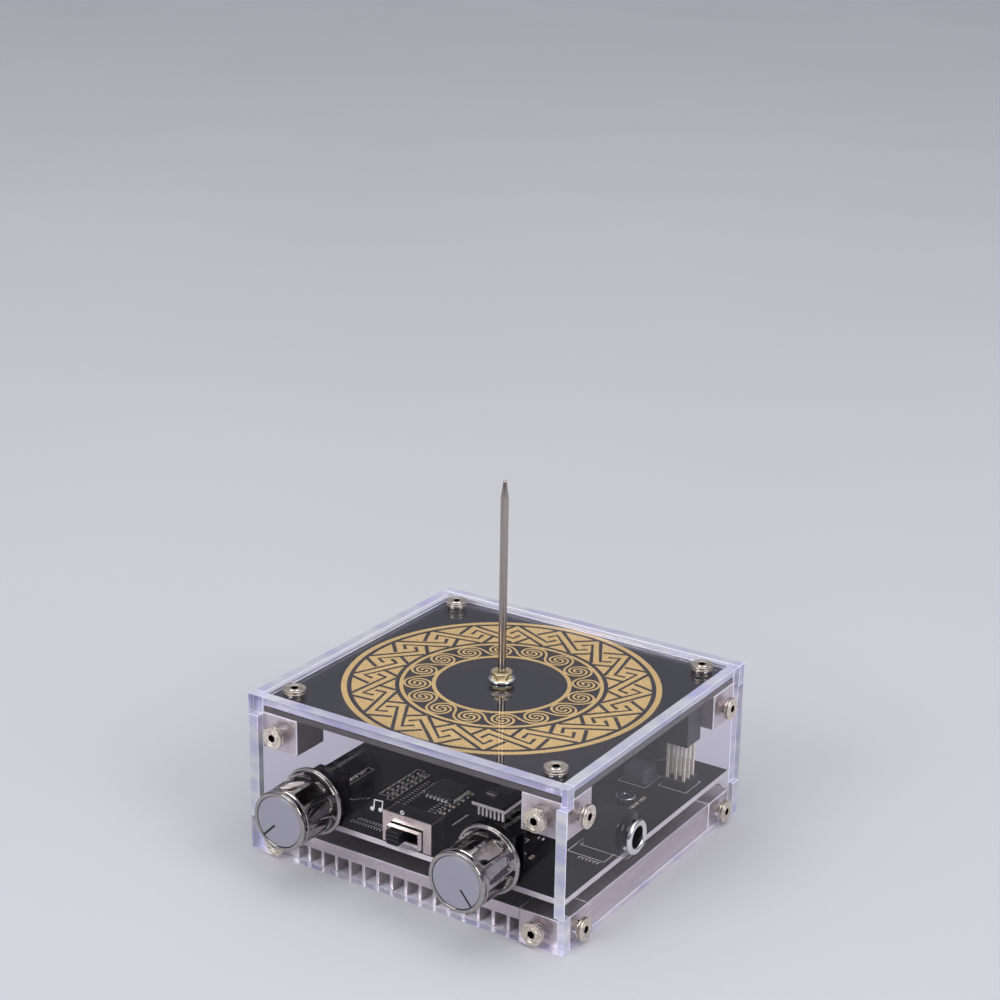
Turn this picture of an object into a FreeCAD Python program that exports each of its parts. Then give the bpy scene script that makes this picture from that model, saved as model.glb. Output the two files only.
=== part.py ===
import FreeCAD, Part
import math
import operator
import os
import Sketcher
from types import SimpleNamespace

# Driving dimensions in millimetres and degrees, kept in the sheet under these names
SIZES = {
    # Clear acrylic case with finger-jointed corners
    "case_width": 100.0,
    "case_depth": 95.0,
    "case_height": 46.2,
    "wall": 3.0,
    "top_finger": 6.0,
    "bottom_finger": 10.0,
    # Clear cover plate and the black boards
    "cover_recess": 0.7,
    "cover_thickness": 3.0,
    "board_thickness": 1.6,
    "board_gap": 0.3,
    "main_board_top": 14.0,
    # Gold ornament on the top board
    "gold_thickness": 0.1,
    "outer_ring_margin": 0.4,
    "outer_ring_width": 1.9,
    "middle_ring_outer": 27.6,
    "middle_ring_inner": 26.2,
    "inner_ring_outer": 18.6,
    "inner_ring_inner": 17.4,
    # Flat windings printed under the top board
    "track_thickness": 0.1,
    "secondary_start": 6.0,
    "secondary_width": 0.8,
    "winding_gap": 0.35,
    "primary_spacing": 2.2,
    "primary_width": 1.5,
    "primary_margin": 3.05,
    # Corner blocks and the heatsink floor between them
    "block_side": 11.6,
    "upper_block_height": 10.2,
    "lower_block_height": 8.0,
    "fin_height": 4.6,
    "heatsink_base": 3.3,
    "fin_thickness": 0.9,
    "fin_rail_gap": 2.75,
    "heatsink_gap": 0.2,
    # Case screws and their washers
    "screw_radius": 1.45,
    "tapped_radius": 1.5,
    "screw_hole_radius": 1.65,
    "screw_grip": 3.8,
    "tapped_spare": 0.3,
    "head_radius": 3.15,
    "head_thickness": 0.6,
    "head_chamfer": 0.2,
    "neck_radius": 2.5,
    "neck_height": 0.3,
    "washer_radius": 3.1,
    "washer_thickness": 0.5,
    "hex_key_flats": 2.0,
    "hex_key_depth": 1.2,
    # Discharge needle at the centre of the cover plate
    "needle_radius": 1.1,
    "needle_tip_radius": 0.45,
    "needle_taper": 5.0,
    "needle_tip_height": 103.0,
    "needle_clearance": 0.05,
    "needle_washer_radius": 3.8,
    "needle_washer_thickness": 0.95,
    "collar_neck_radius": 2.85,
    "collar_neck_height": 0.95,
    "collar_groove_radius": 2.5,
    "collar_groove_height": 0.25,
    "collar_radius": 2.95,
    "collar_height": 0.6,
    "collar_chamfer": 0.15,
    "collar_recess_radius": 1.65,
    "collar_recess_depth": 0.4,
    "needle_nut_flats": 4.5,
    "needle_nut_height": 2.0,
    "needle_end_below_nut": 1.0,
    # Knobs and the potentiometers they turn
    "knob_side_inset": 22.2,
    "knob_axis_height": 21.0,
    "knob_gap": 0.5,
    "knob_length": 15.0,
    "knob_skirt_radius": 9.5,
    "knob_skirt_thickness": 1.3,
    "knob_skirt_slope": 0.6,
    "knob_back_radius": 8.6,
    "knob_front_radius": 8.3,
    "knob_bevel": 0.9,
    "knob_rim": 0.7,
    "knob_cap_recess": 0.9,
    "knob_cap_thickness": 0.7,
    "knob_cap_gap": 0.05,
    "knob_recess_radius": 6.3,
    "knob_recess_depth": 2.6,
    "knob_shaft_grip": 9.6,
    "knob_shaft_gap": 0.02,
    "flute_width": 2.6,
    "flute_depth": 0.4,
    "flute_end": 1.6,
    "pointer_width": 0.5,
    "pointer_length": 5.6,
    "pointer_start": 1.2,
    "pointer_depth": 0.25,
    "left_pointer_angle": 225.0,
    "right_pointer_angle": 310.0,
    "pot_width": 9.8,
    "pot_depth": 6.6,
    "pot_height": 11.4,
    "pot_leg_spacing": 2.5,
    "pot_leg_side": 0.7,
    "bushing_radius": 3.5,
    "bushing_length": 5.4,
    "bushing_hole_clearance": 0.15,
    "shaft_radius": 3.0,
    "shaft_clearance": 0.05,
    "shaft_seat": 2.5,
    "pot_nut_flats": 9.0,
    "pot_nut_thickness": 1.6,
    # Slide switch between the knobs
    "switch_middle_distance": 0.5,
    "switch_width": 14.6,
    "switch_depth": 6.0,
    "switch_height": 8.9,
    "switch_plate_thickness": 0.4,
    "switch_plate_overhang": 0.4,
    "switch_plate_foot": 0.5,
    "switch_window_width": 10.4,
    "switch_window_height": 5.8,
    "lever_width": 4.4,
    "lever_height": 4.2,
    "lever_travel": 4.6,
    "lever_chamfer": 0.6,
    "lever_stand_out": 1.2,
    "lever_inside": 2.4,
    "lever_gap": 0.4,
    "lever_axis_height": 18.0,
    # Power socket in the right wall
    "socket_front_distance": 35.2,
    "socket_axis_height": 18.2,
    "socket_barrel_radius": 4.0,
    "socket_hole_clearance": 0.15,
    "socket_bore_radius": 3.0,
    "socket_bore_depth": 10.0,
    "socket_body_width": 9.0,
    "socket_body_height": 9.2,
    "socket_body_length": 11.0,
    "socket_ring_radius": 4.8,
    "socket_ring_thickness": 1.0,
    "socket_ring_chamfer": 0.3,
    "socket_pin_radius": 1.0,
    "socket_pin_seat": 2.0,
    "socket_pin_setback": 1.5,
    # Pin header that joins the two boards
    "header_wall_gap": 3.6,
    "header_block_gap": 0.35,
    "header_spacing": 2.54,
    "header_margin": 1.27,
    "header_base_height": 2.5,
    "header_pin_side": 0.7,
    "header_socket_height": 13.5,
    "header_pin_depth": 2.5,
    # Fixing of the main board on the heatsink
    "standoff_rail_gap": 2.7,
    "standoff_block_gap": 21.9,
    "standoff_flats": 5.5,
    "board_screw_head_radius": 2.75,
    "board_screw_head_height": 1.9,
    "board_screw_bite": 3.0,
    # Power transistors clamped on the heatsink under the main board
    "transistor_spacing": 28.0,
    "transistor_front_distance": 40.5,
    "pad_margin": 1.0,
    "pad_thickness": 0.3,
    "tab_width": 10.0,
    "tab_length": 15.5,
    "tab_thickness": 1.3,
    "case_length": 9.0,
    "case_thickness": 3.6,
    "case_step": 0.4,
    "lead_spacing": 2.54,
    "lead_side": 0.8,
    "lead_run": 3.0,
    "tab_screw_setback": 2.8,
    "tab_screw_head_radius": 2.6,
    "tab_screw_head_height": 1.8,
    # Parts on the main board
    "controller_middle_distance": 9.0,
    "controller_front_distance": 32.5,
    "controller_side": 9.0,
    "controller_height": 1.4,
    "driver_spacing": 24.0,
    "driver_front_distance": 56.5,
    "driver_width": 4.0,
    "driver_length": 5.0,
    "driver_height": 1.5,
    "chip_leg_spacing": 1.27,
    "chip_leg_width": 0.45,
    "chip_leg_reach": 1.0,
    "chip_leg_height": 0.6,
    "module_middle_distance": 5.2,
    "module_front_distance": 27.0,
    "module_pin_spacing": 1.27,
    "module_depth": 19.0,
    "module_margin": 1.5,
    "module_pin_side": 0.5,
    "module_pin_height": 3.2,
    "module_thickness": 1.0,
    "capacitor_side_gap": 16.0,
    "capacitor_wall_gap": 0.9,
    "capacitor_radius": 5.0,
    "capacitor_height": 12.0,
    "capacitor_spacing": 12.0,
    "inductor_header_gap": 3.1,
    "inductor_capacitor_gap": 4.7,
    "inductor_side": 7.6,
    "inductor_height": 4.2,
    "inductor_chamfer": 0.8,
}

# Counts
FIN_COUNT = 15
SECONDARY_HALF_TURNS = 38
PRIMARY_HALF_TURNS = 5
WINDING_POINTS = 40
FLUTE_COUNT = 10
HEADER_ROWS = 3
MODULE_PINS = 7
CONTROLLER_LEGS_PER_SIDE = 6
DRIVER_LEGS_PER_SIDE = 4
POT_LEGS = 3
TRANSISTOR_LEADS = 3

COMBINE = {"+": operator.add, "-": operator.sub, "*": operator.mul, "/": operator.truediv}


class Measure:
    """A size of the object: its present value, and the formula that the document keeps for it."""

    def __init__(self, value, text):
        self.value = value
        self.text = text

    def joined(self, sign, other, flipped=False):
        other = measure(other)
        first, second = (other, self) if flipped else (self, other)
        value = COMBINE[sign](first.value, second.value)
        return Measure(value, f"({first.text} {sign} {second.text})")

    def __add__(self, other):
        return self.joined("+", other)

    def __radd__(self, other):
        return self.joined("+", other, flipped=True)

    def __sub__(self, other):
        return self.joined("-", other)

    def __rsub__(self, other):
        return self.joined("-", other, flipped=True)

    def __mul__(self, other):
        return self.joined("*", other)

    def __rmul__(self, other):
        return self.joined("*", other, flipped=True)

    def __truediv__(self, other):
        return self.joined("/", other)

    def __neg__(self):
        return self.joined("-", 0, flipped=True)


def measure(number):
    """A plain number as a Measure; a Measure stays as it is."""
    if isinstance(number, Measure):
        return number
    return Measure(float(number), repr(float(number)))


def smaller(first, second):
    """The smaller of two measures, kept as a formula."""
    return Measure(min(first.value, second.value), f"min({first.text}; {second.text})")


def from_middle(number, count, spacing):
    """How far one piece of an even row stands from the middle of the row."""
    return (number - (count - 1) / 2) * spacing


doc = FreeCAD.newDocument("resonant_transformer")
sheet = doc.addObject("Spreadsheet::Sheet", "Sizes")
for row, (alias, number) in enumerate(SIZES.items(), start=1):
    sheet.set(f"A{row}", alias)
    sheet.set(f"B{row}", str(number))
    sheet.setAlias(f"B{row}", alias)
doc.recompute()
size = SimpleNamespace(**{alias: Measure(number, f"Sizes.{alias}") for alias, number in SIZES.items()})

# Directions that a piece built along +Z can be turned to
X_AXIS = FreeCAD.Vector(1, 0, 0)
Y_AXIS = FreeCAD.Vector(0, 1, 0)
FACING = {
    "up": (X_AXIS, 0),
    "down": (X_AXIS, 180),
    "back": (X_AXIS, -90),
    "front": (X_AXIS, 90),
    "right": (Y_AXIS, 90),
    "left": (Y_AXIS, -90),
}
SIDES = {"left": -1, "right": 1}
ENDS = {"front": -1, "back": 1}

nodes = []


def bind(item, prop, number):
    """Tie a property to the formula of a size."""
    item.setExpression(prop, measure(number).text)


def place(item, spot, facing="up"):
    """Turn a piece built along +Z to face a direction and set its origin at a spot."""
    axis, angle = FACING[facing]
    item.Placement = FreeCAD.Placement(FreeCAD.Vector(), FreeCAD.Rotation(axis, angle))
    for letter, number in zip("xyz", spot):
        bind(item, f"Placement.Base.{letter}", number)
    return item


def keep(item):
    """Count a finished piece among the nodes that are written."""
    nodes.append(item)
    return item


def box(name, corner, lengths):
    """A block from its lowest corner and its lengths along X, Y and Z."""
    item = doc.addObject("Part::Box", name)
    for prop, number in zip(("Length", "Width", "Height"), lengths):
        bind(item, prop, number)
    return place(item, corner)


def standing_box(name, middle, lengths):
    """A block from the middle of its underside and its lengths along X, Y and Z."""
    corner = (middle[0] - lengths[0] / 2, middle[1] - lengths[1] / 2, middle[2])
    return box(name, corner, lengths)


def cylinder(name, radius, length, spot, facing="up"):
    """A round bar that starts at a spot and runs in one direction."""
    item = doc.addObject("Part::Cylinder", name)
    bind(item, "Radius", radius)
    bind(item, "Height", length)
    return place(item, spot, facing)


def hexagon(name, flats, length, spot, facing="up"):
    """A hexagonal bar from its width across the flats."""
    item = doc.addObject("Part::Prism", name)
    item.Polygon = 6
    bind(item, "Circumradius", flats / math.sqrt(3))
    bind(item, "Height", length)
    return place(item, spot, facing)


def group(name, pieces):
    """Several separate solids under one name."""
    item = doc.addObject("Part::Compound", name)
    item.Links = list(pieces)
    return item


def fused(name, pieces):
    item = doc.addObject("Part::MultiFuse", name)
    item.Shapes = list(pieces)
    return item


def cut(name, base, tools):
    """A base with one or more tools taken away."""
    item = doc.addObject("Part::Cut", name)
    item.Base = base
    item.Tool = tools[0] if len(tools) == 1 else fused(f"{name}_tools", tools)
    return item


def copies(name, model, spots):
    """Copies of one model, each with its own spot and facing, as one group."""
    items = []
    for number, (spot, facing) in enumerate(spots, start=1):
        items.append(place(group(f"{name}_{number}", [model]), spot, facing))
    return group(name, items)


def ring_of(name, model, count):
    """Copies of one model spread evenly about the Z axis."""
    items = []
    for number in range(count):
        item = group(f"{name}_{number}", [model])
        item.Placement = FreeCAD.Placement(FreeCAD.Vector(), FreeCAD.Rotation(number * 360 / count, 0, 0))
        items.append(item)
    return items


def sketch_in(body, role, name):
    """An empty sketch on one of a body's own origin planes."""
    sketch = body.newObject("Sketcher::SketchObject", name)
    plane = [item for item in body.Origin.OriginFeatures if item.Role == role][0]
    sketch.AttachmentSupport = [(plane, "")]
    sketch.MapMode = "FlatFace"
    return sketch


def fix_point(sketch, geometry, point, spot):
    """Hold a sketch point at two measures from the origin."""
    for kind, number, axis in (("DistanceX", spot[0], -2), ("DistanceY", spot[1], -1)):
        number = measure(number)
        if number.value == 0:
            sketch.addConstraint(Sketcher.Constraint("PointOnObject", geometry, point, axis))
            continue
        index = sketch.addConstraint(Sketcher.Constraint(kind, -1, 1, geometry, point, number.value))
        sketch.setExpression(f"Constraints[{index}]", number.text)


def draw_outline(sketch, points):
    """A closed outline of straight edges through points given as measures."""
    first = sketch.GeometryCount
    spots = [FreeCAD.Vector(measure(across).value, measure(up).value, 0) for across, up in points]
    for start, end in zip(spots, spots[1:] + spots[:1]):
        sketch.addGeometry(Part.LineSegment(start, end), False)
    for number in range(len(points)):
        following = first + (number + 1) % len(points)
        sketch.addConstraint(Sketcher.Constraint("Coincident", first + number, 2, following, 1))
    for number, point in enumerate(points):
        fix_point(sketch, first + number, 1, point)


def draw_circle(sketch, centre, radius):
    centre = [measure(number) for number in centre]
    middle = FreeCAD.Vector(centre[0].value, centre[1].value, 0)
    index = sketch.addGeometry(Part.Circle(middle, FreeCAD.Vector(0, 0, 1), radius.value), False)
    fix_point(sketch, index, 3, centre)
    constraint = sketch.addConstraint(Sketcher.Constraint("Radius", index, radius.value))
    sketch.setExpression(f"Constraints[{constraint}]", radius.text)


def plate(name, role, outlines, circles, thickness, spot=(0, 0, 0)):
    """A flat plate padded from an origin plane: its edge, its windows and its round holes."""
    body = doc.addObject("PartDesign::Body", name)
    sketch = sketch_in(body, role, f"{name}_sketch")
    for outline in outlines:
        draw_outline(sketch, outline)
    for centre, radius in circles:
        draw_circle(sketch, centre, radius)
    pad = body.newObject("PartDesign::Pad", f"{name}_pad")
    pad.Profile = sketch
    bind(pad, "Length", thickness)
    return place(body, spot)


def turned(name, profile, spot=(0, 0, 0), facing="up"):
    """A piece turned about its own Z axis from a profile of radius and height."""
    body = doc.addObject("PartDesign::Body", name)
    sketch = sketch_in(body, "XZ_Plane", f"{name}_profile")
    draw_outline(sketch, profile)
    revolution = body.newObject("PartDesign::Revolution", f"{name}_turning")
    revolution.Profile = sketch
    revolution.ReferenceAxis = (sketch, ["V_Axis"])
    revolution.Angle = 360
    return place(body, spot, facing)


def ring_profile(inner, outer, bottom, top):
    return [(inner, bottom), (outer, bottom), (outer, top), (inner, top)]


def rectangle(low_x, low_y, high_x, high_y):
    return [(low_x, low_y), (high_x, low_y), (high_x, high_y), (low_x, high_y)]


# Places that several pieces share
half_width = size.case_width / 2
half_depth = size.case_depth / 2
inside_x = half_width - size.wall
inside_y = half_depth - size.wall
screw_x = inside_x - size.block_side / 2
screw_y = inside_y - size.block_side / 2
cover_top = size.case_height - size.cover_recess
cover_under = cover_top - size.cover_thickness
gold_under = cover_under - size.gold_thickness
top_board_under = gold_under - size.board_thickness
upper_block_under = top_board_under - size.upper_block_height
upper_screw_z = top_board_under - size.upper_block_height / 2
lower_screw_z = size.lower_block_height / 2
heatsink_top = size.fin_height + size.heatsink_base
main_board_under = size.main_board_top - size.board_thickness
board_half_x = inside_x - size.board_gap
board_half_y = inside_y - size.board_gap
board_reach = smaller(board_half_x, board_half_y)
notch_x = inside_x - size.block_side - size.heatsink_gap
notch_y = inside_y - size.block_side - size.heatsink_gap
knob_x = half_width - size.knob_side_inset
switch_x = size.switch_middle_distance
socket_y = size.socket_front_distance - half_depth
standoff_x = notch_x - size.standoff_rail_gap
standoff_y = inside_y - size.block_side - size.standoff_block_gap
transistor_x = size.transistor_spacing / 2
transistor_y = size.transistor_front_distance - inside_y
tab_screw_y = transistor_y - size.tab_length + size.tab_screw_setback
header_side = (HEADER_ROWS - 1) * size.header_spacing + size.header_margin * 2
header_x = inside_x - size.header_wall_gap - header_side / 2
header_y = inside_y - size.block_side - size.header_block_gap - header_side / 2
capacitor_y = inside_y - size.capacitor_wall_gap - size.capacitor_radius
wall_screws_z = (lower_screw_z, upper_screw_z)
left_right = (-1, 1)


def wall_screw_holes(across):
    """The four screw holes of a wall, two at each height."""
    radius = size.screw_hole_radius
    return [((side * across, height), radius) for side in left_right for height in wall_screws_z]


def fingered_outline(reach, step):
    """A wall's edge: its reach at the top and bottom fingers, moved by a step in between."""
    low = size.bottom_finger
    high = size.case_height - size.top_finger
    middle = reach + step
    right_edge = [(reach, measure(0)), (reach, low), (middle, low), (middle, high), (reach, high)]
    right_edge.append((reach, size.case_height))
    left_edge = [(-across, up) for across, up in reversed(right_edge)]
    return right_edge + left_edge


def make_walls():
    """Four clear walls whose end fingers share the corners."""
    bushing_hole = size.bushing_radius + size.bushing_hole_clearance
    front_holes = wall_screw_holes(screw_x)
    front_holes += [((side * knob_x, size.knob_axis_height), bushing_hole) for side in left_right]
    slot_x = (size.lever_travel + size.lever_width) / 2 + size.lever_gap
    slot_z = size.lever_height / 2 + size.lever_gap
    slot = rectangle(switch_x - slot_x, size.lever_axis_height - slot_z,
                     switch_x + slot_x, size.lever_axis_height + slot_z)
    long_outline = fingered_outline(half_width, -size.wall)
    short_outline = fingered_outline(inside_y, size.wall)
    front_spot = (0, -inside_y, 0)
    keep(plate("front_wall", "XZ_Plane", [long_outline, slot], front_holes, size.wall, front_spot))
    back_spot = (0, half_depth, 0)
    back_holes = wall_screw_holes(screw_x)
    keep(plate("back_wall", "XZ_Plane", [long_outline], back_holes, size.wall, back_spot))
    left_spot = (-half_width, 0, 0)
    side_holes = wall_screw_holes(screw_y)
    keep(plate("left_wall", "YZ_Plane", [short_outline], side_holes, size.wall, left_spot))
    socket_hole = size.socket_barrel_radius + size.socket_hole_clearance
    right_holes = side_holes + [((socket_y, size.socket_axis_height), socket_hole)]
    keep(plate("right_wall", "YZ_Plane", [short_outline], right_holes, size.wall, (inside_x, 0, 0)))


def make_top_board():
    """The black top board, its gold ornament, and the clear plate that covers them."""
    edge = rectangle(-board_half_x, -board_half_y, board_half_x, board_half_y)
    corners = [(side * screw_x, end * screw_y) for side in left_right for end in left_right]
    holes = [(corner, size.screw_hole_radius) for corner in corners]
    holes.append(((0, 0), size.needle_radius + size.needle_clearance))
    keep(plate("top_board", "XY_Plane", [edge], holes, size.board_thickness, (0, 0, top_board_under)))
    keep(plate("cover_plate", "XY_Plane", [edge], holes, size.cover_thickness, (0, 0, cover_under)))
    outer_edge = board_reach - size.outer_ring_margin
    rings = [(outer_edge - size.outer_ring_width, outer_edge),
             (size.middle_ring_inner, size.middle_ring_outer),
             (size.inner_ring_inner, size.inner_ring_outer)]
    bands = []
    for number, (inner, outer) in enumerate(rings, start=1):
        profile = ring_profile(inner, outer, gold_under, cover_under)
        bands.append(turned(f"gold_ring_{number}", profile))
    keep(group("gold_pattern", bands))


def least_gap(inner_arcs, outer_arcs):
    """The least distance, on points, from a winding's outer edge to the next turn's inner edge."""
    gaps = []
    for outer, inner in zip(outer_arcs, inner_arcs[2:]):
        for start in outer.discretize(WINDING_POINTS):
            gaps += [start.distanceToPoint(end) for end in inner.discretize(WINDING_POINTS)]
    return min(gaps)


def make_winding(name, start, spacing, width, half_turns):
    """One unbroken flat track under the top board, in half turns whose radius grows steadily."""
    start, spacing, width, thickness, height = [
        number.value for number in (start, spacing, width, size.track_thickness, top_board_under)]
    up = FreeCAD.Vector(0, 0, 1)
    edges = []
    ends = []
    for side in (-1, 1):
        arcs = []
        for number in range(half_turns):
            upper = number % 2 == 0
            middle = FreeCAD.Vector(0 if upper else spacing / 2, 0, height)
            radius = start + number * spacing / 2 + side * width / 2
            first, last = (0, 180) if upper else (180, 360)
            arcs.append(Part.makeCircle(radius, middle, up, first, last))
        edges += arcs
        ends.append((arcs[0].valueAt(arcs[0].FirstParameter), arcs[-1].valueAt(arcs[-1].LastParameter)))
    for inner, outer in zip(*ends):
        edges.append(Part.makeLine(inner, outer))
    outline = Part.Wire(Part.__sortEdges__(edges))
    item = doc.addObject("Part::Feature", name)
    item.Shape = Part.Face(outline).extrude(FreeCAD.Vector(0, 0, -thickness))
    inner_arcs = edges[:half_turns]
    outer_arcs = edges[half_turns:2 * half_turns]
    print(f"{name}: least gap to itself {least_gap(inner_arcs, outer_arcs):.2f} mm")
    return keep(item)


def make_windings():
    """The primary near the board's edge, and the secondary that fills the space inside it."""
    primary_reach = (PRIMARY_HALF_TURNS - 1) * size.primary_spacing / 2 + size.primary_width / 2
    primary_start = board_reach - size.primary_margin - primary_reach
    secondary_end = primary_start - (size.primary_width + size.secondary_width) / 2 - size.winding_gap
    secondary_spacing = (secondary_end - size.secondary_start) * 2 / SECONDARY_HALF_TURNS
    make_winding("secondary_winding", size.secondary_start, secondary_spacing, size.secondary_width,
                 SECONDARY_HALF_TURNS)
    make_winding("primary_winding", primary_start, size.primary_spacing, size.primary_width,
                 PRIMARY_HALF_TURNS)


def make_corner_blocks():
    """Eight aluminium blocks, tapped on the faces that a screw enters."""
    depth = size.screw_grip + size.tapped_spare
    side_length = size.block_side
    for end, end_sign in ENDS.items():
        for side, side_sign in SIDES.items():
            middle = (side_sign * screw_x, end_sign * screw_y)
            wall_x = side_sign * inside_x
            wall_y = end_sign * inside_y
            toward_x = "right" if side_sign < 0 else "left"
            toward_y = "back" if end_sign < 0 else "front"
            levels = {
                "upper": (upper_block_under, size.upper_block_height, upper_screw_z),
                "lower": (measure(0), size.lower_block_height, lower_screw_z),
            }
            for level, (bottom, height, axis_z) in levels.items():
                name = f"{level}_block_{end}_{side}"
                blank = standing_box(f"{name}_blank", (*middle, bottom), (side_length, side_length, height))
                spots = [((wall_x, middle[1], axis_z), toward_x), ((middle[0], wall_y, axis_z), toward_y)]
                if level == "upper":
                    spots.append(((*middle, top_board_under), "down"))
                holes = []
                for number, (spot, facing) in enumerate(spots):
                    hole = cylinder(f"{name}_hole_{number}", size.tapped_radius, depth, spot, facing)
                    holes.append(hole)
                keep(cut(name, blank, holes))


def screw_profile(length):
    """A flat-headed screw on its neck, with the neck's underside at height zero."""
    top = size.neck_height + size.head_thickness
    return [
        (0, -length), (size.screw_radius, -length), (size.screw_radius, 0), (size.neck_radius, 0),
        (size.neck_radius, size.neck_height), (size.head_radius, size.neck_height),
        (size.head_radius, top - size.head_chamfer), (size.head_radius - size.head_chamfer, top), (0, top),
    ]


def make_case_screw(name, length):
    """A case screw with its hexagonal key hole."""
    blank = turned(f"{name}_blank", screw_profile(length))
    top = size.neck_height + size.head_thickness
    key = hexagon(f"{name}_key", size.hex_key_flats, size.hex_key_depth, (0, 0, top), "down")
    return cut(name, blank, [key])


def make_case_screws():
    """The screws of the cover plate and the walls, each on its washer."""
    washer = turned("washer_model", ring_profile(size.screw_hole_radius, size.washer_radius,
                                                 measure(0), size.washer_thickness))
    top_reach = size.washer_thickness + cover_top - top_board_under + size.screw_grip
    side_reach = size.washer_thickness + size.wall + size.screw_grip
    top_screw = make_case_screw("top_screw_model", top_reach)
    side_screw = make_case_screw("side_screw_model", side_reach)
    top_spots = [(side * screw_x, end * screw_y) for side in left_right for end in left_right]
    keep(copies("top_washers", washer, [((*spot, cover_top), "up") for spot in top_spots]))
    seat = cover_top + size.washer_thickness
    keep(copies("top_screws", top_screw, [((*spot, seat), "up") for spot in top_spots]))
    stack = size.washer_thickness
    washer_spots = []
    for level, height in (("lower", lower_screw_z), ("upper", upper_screw_z)):
        screw_spots = []
        for side in left_right:
            for end, facing in ((-1, "front"), (1, "back")):
                washer_spots.append(((side * screw_x, end * half_depth, height), facing))
                screw_spots.append(((side * screw_x, end * (half_depth + stack), height), facing))
        for end in left_right:
            for side, facing in ((-1, "left"), (1, "right")):
                washer_spots.append(((side * half_width, end * screw_y, height), facing))
                screw_spots.append(((side * (half_width + stack), end * screw_y, height), facing))
        keep(copies(f"{level}_side_screws", side_screw, screw_spots))
    keep(copies("side_washers", washer, washer_spots))


def make_needle():
    """The discharge needle with its washer and collar, and the nut under the board."""
    nut_bottom = top_board_under - size.needle_nut_height
    bottom = nut_bottom - size.needle_end_below_nut
    taper = size.needle_tip_height - size.needle_taper
    bore = size.needle_radius + size.needle_clearance
    keep(turned("needle", [(0, bottom), (size.needle_radius, bottom), (size.needle_radius, taper),
                           (size.needle_tip_radius, size.needle_tip_height), (0, size.needle_tip_height)]))
    washer_top = cover_top + size.needle_washer_thickness
    keep(turned("needle_washer", ring_profile(bore, size.needle_washer_radius, cover_top, washer_top)))
    neck_top = washer_top + size.collar_neck_height
    groove_top = neck_top + size.collar_groove_height
    collar_top = groove_top + size.collar_height
    recess_floor = collar_top - size.collar_recess_depth
    keep(turned("needle_collar", [
        (bore, washer_top), (size.collar_neck_radius, washer_top), (size.collar_neck_radius, neck_top),
        (size.collar_groove_radius, neck_top), (size.collar_groove_radius, groove_top),
        (size.collar_radius, groove_top), (size.collar_radius, collar_top - size.collar_chamfer),
        (size.collar_radius - size.collar_chamfer, collar_top), (size.collar_recess_radius, collar_top),
        (size.collar_recess_radius, recess_floor), (bore, recess_floor),
    ]))
    blank = hexagon("needle_nut_blank", size.needle_nut_flats, size.needle_nut_height, (0, 0, nut_bottom))
    hole = cylinder("needle_nut_hole", bore, size.needle_nut_height, (0, 0, nut_bottom))
    keep(cut("needle_nut", blank, [hole]))


def make_heatsink():
    """The finned aluminium floor: a base notched for the lower blocks, two rails and the fins."""
    body = doc.addObject("PartDesign::Body", "heatsink")
    out_x = inside_x - size.heatsink_gap
    out_y = inside_y - size.heatsink_gap
    corner = [(out_x, -notch_y), (out_x, notch_y), (notch_x, notch_y), (notch_x, out_y)]
    mirrored = [(-across, -up) for across, up in corner]
    base_sketch = sketch_in(body, "XY_Plane", "heatsink_base_outline")
    draw_outline(base_sketch, [(notch_x, -out_y), (notch_x, -notch_y), *corner,
                               (-notch_x, out_y), (-notch_x, notch_y), *mirrored])
    for side in left_right:
        draw_circle(base_sketch, (side * standoff_x, standoff_y), size.tapped_radius)
        draw_circle(base_sketch, (side * transistor_x, tab_screw_y), size.tapped_radius)
    base = body.newObject("PartDesign::Pad", "heatsink_base_pad")
    base.Profile = base_sketch
    bind(base, "Length", size.heatsink_base)
    rail_sketch = sketch_in(body, "XY_Plane", "heatsink_rail_outlines")
    for low, high in ((-out_x, -notch_x), (notch_x, out_x)):
        draw_outline(rail_sketch, rectangle(low, -notch_y, high, notch_y))
    rails = body.newObject("PartDesign::Pad", "heatsink_rails")
    rails.Profile = rail_sketch
    rails.Reversed = True
    bind(rails, "Length", size.fin_height)
    fin_sketch = sketch_in(body, "XY_Plane", "heatsink_fin_outline")
    fin_span = (notch_x - size.fin_rail_gap) * 2 - size.fin_thickness
    first = -(fin_span + size.fin_thickness) / 2
    draw_outline(fin_sketch, rectangle(first, -out_y, first + size.fin_thickness, out_y))
    fin = body.newObject("PartDesign::Pad", "heatsink_fin")
    fin.Profile = fin_sketch
    fin.Reversed = True
    bind(fin, "Length", size.fin_height)
    pattern = body.newObject("PartDesign::LinearPattern", "heatsink_fins")
    pattern.Originals = [fin]
    pattern.Direction = (fin_sketch, ["H_Axis"])
    pattern.Occurrences = FIN_COUNT
    bind(pattern, "Length", fin_span)
    body.Tip = pattern
    keep(place(body, (0, 0, size.fin_height)))


def make_main_board():
    """The black main board on its two spacers, screwed down to the heatsink."""
    edge = rectangle(-board_half_x, -board_half_y, board_half_x, board_half_y)
    spots = [(side * standoff_x, standoff_y) for side in left_right]
    holes = [(spot, size.screw_hole_radius) for spot in spots]
    keep(plate("main_board", "XY_Plane", [edge], holes, size.board_thickness, (0, 0, main_board_under)))
    height = main_board_under - heatsink_top
    blank = hexagon("standoff_blank", size.standoff_flats, height, (0, 0, 0))
    bore = cylinder("standoff_bore", size.screw_hole_radius, height, (0, 0, 0))
    standoff = cut("standoff_model", blank, [bore])
    keep(copies("standoffs", standoff, [((*spot, heatsink_top), "up") for spot in spots]))
    reach = size.board_thickness + height + size.board_screw_bite
    screw = small_screw("board_screw", reach, size.board_screw_head_radius, size.board_screw_head_height)
    keep(copies("board_screws", screw, [((*spot, size.main_board_top), "up") for spot in spots]))


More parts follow.
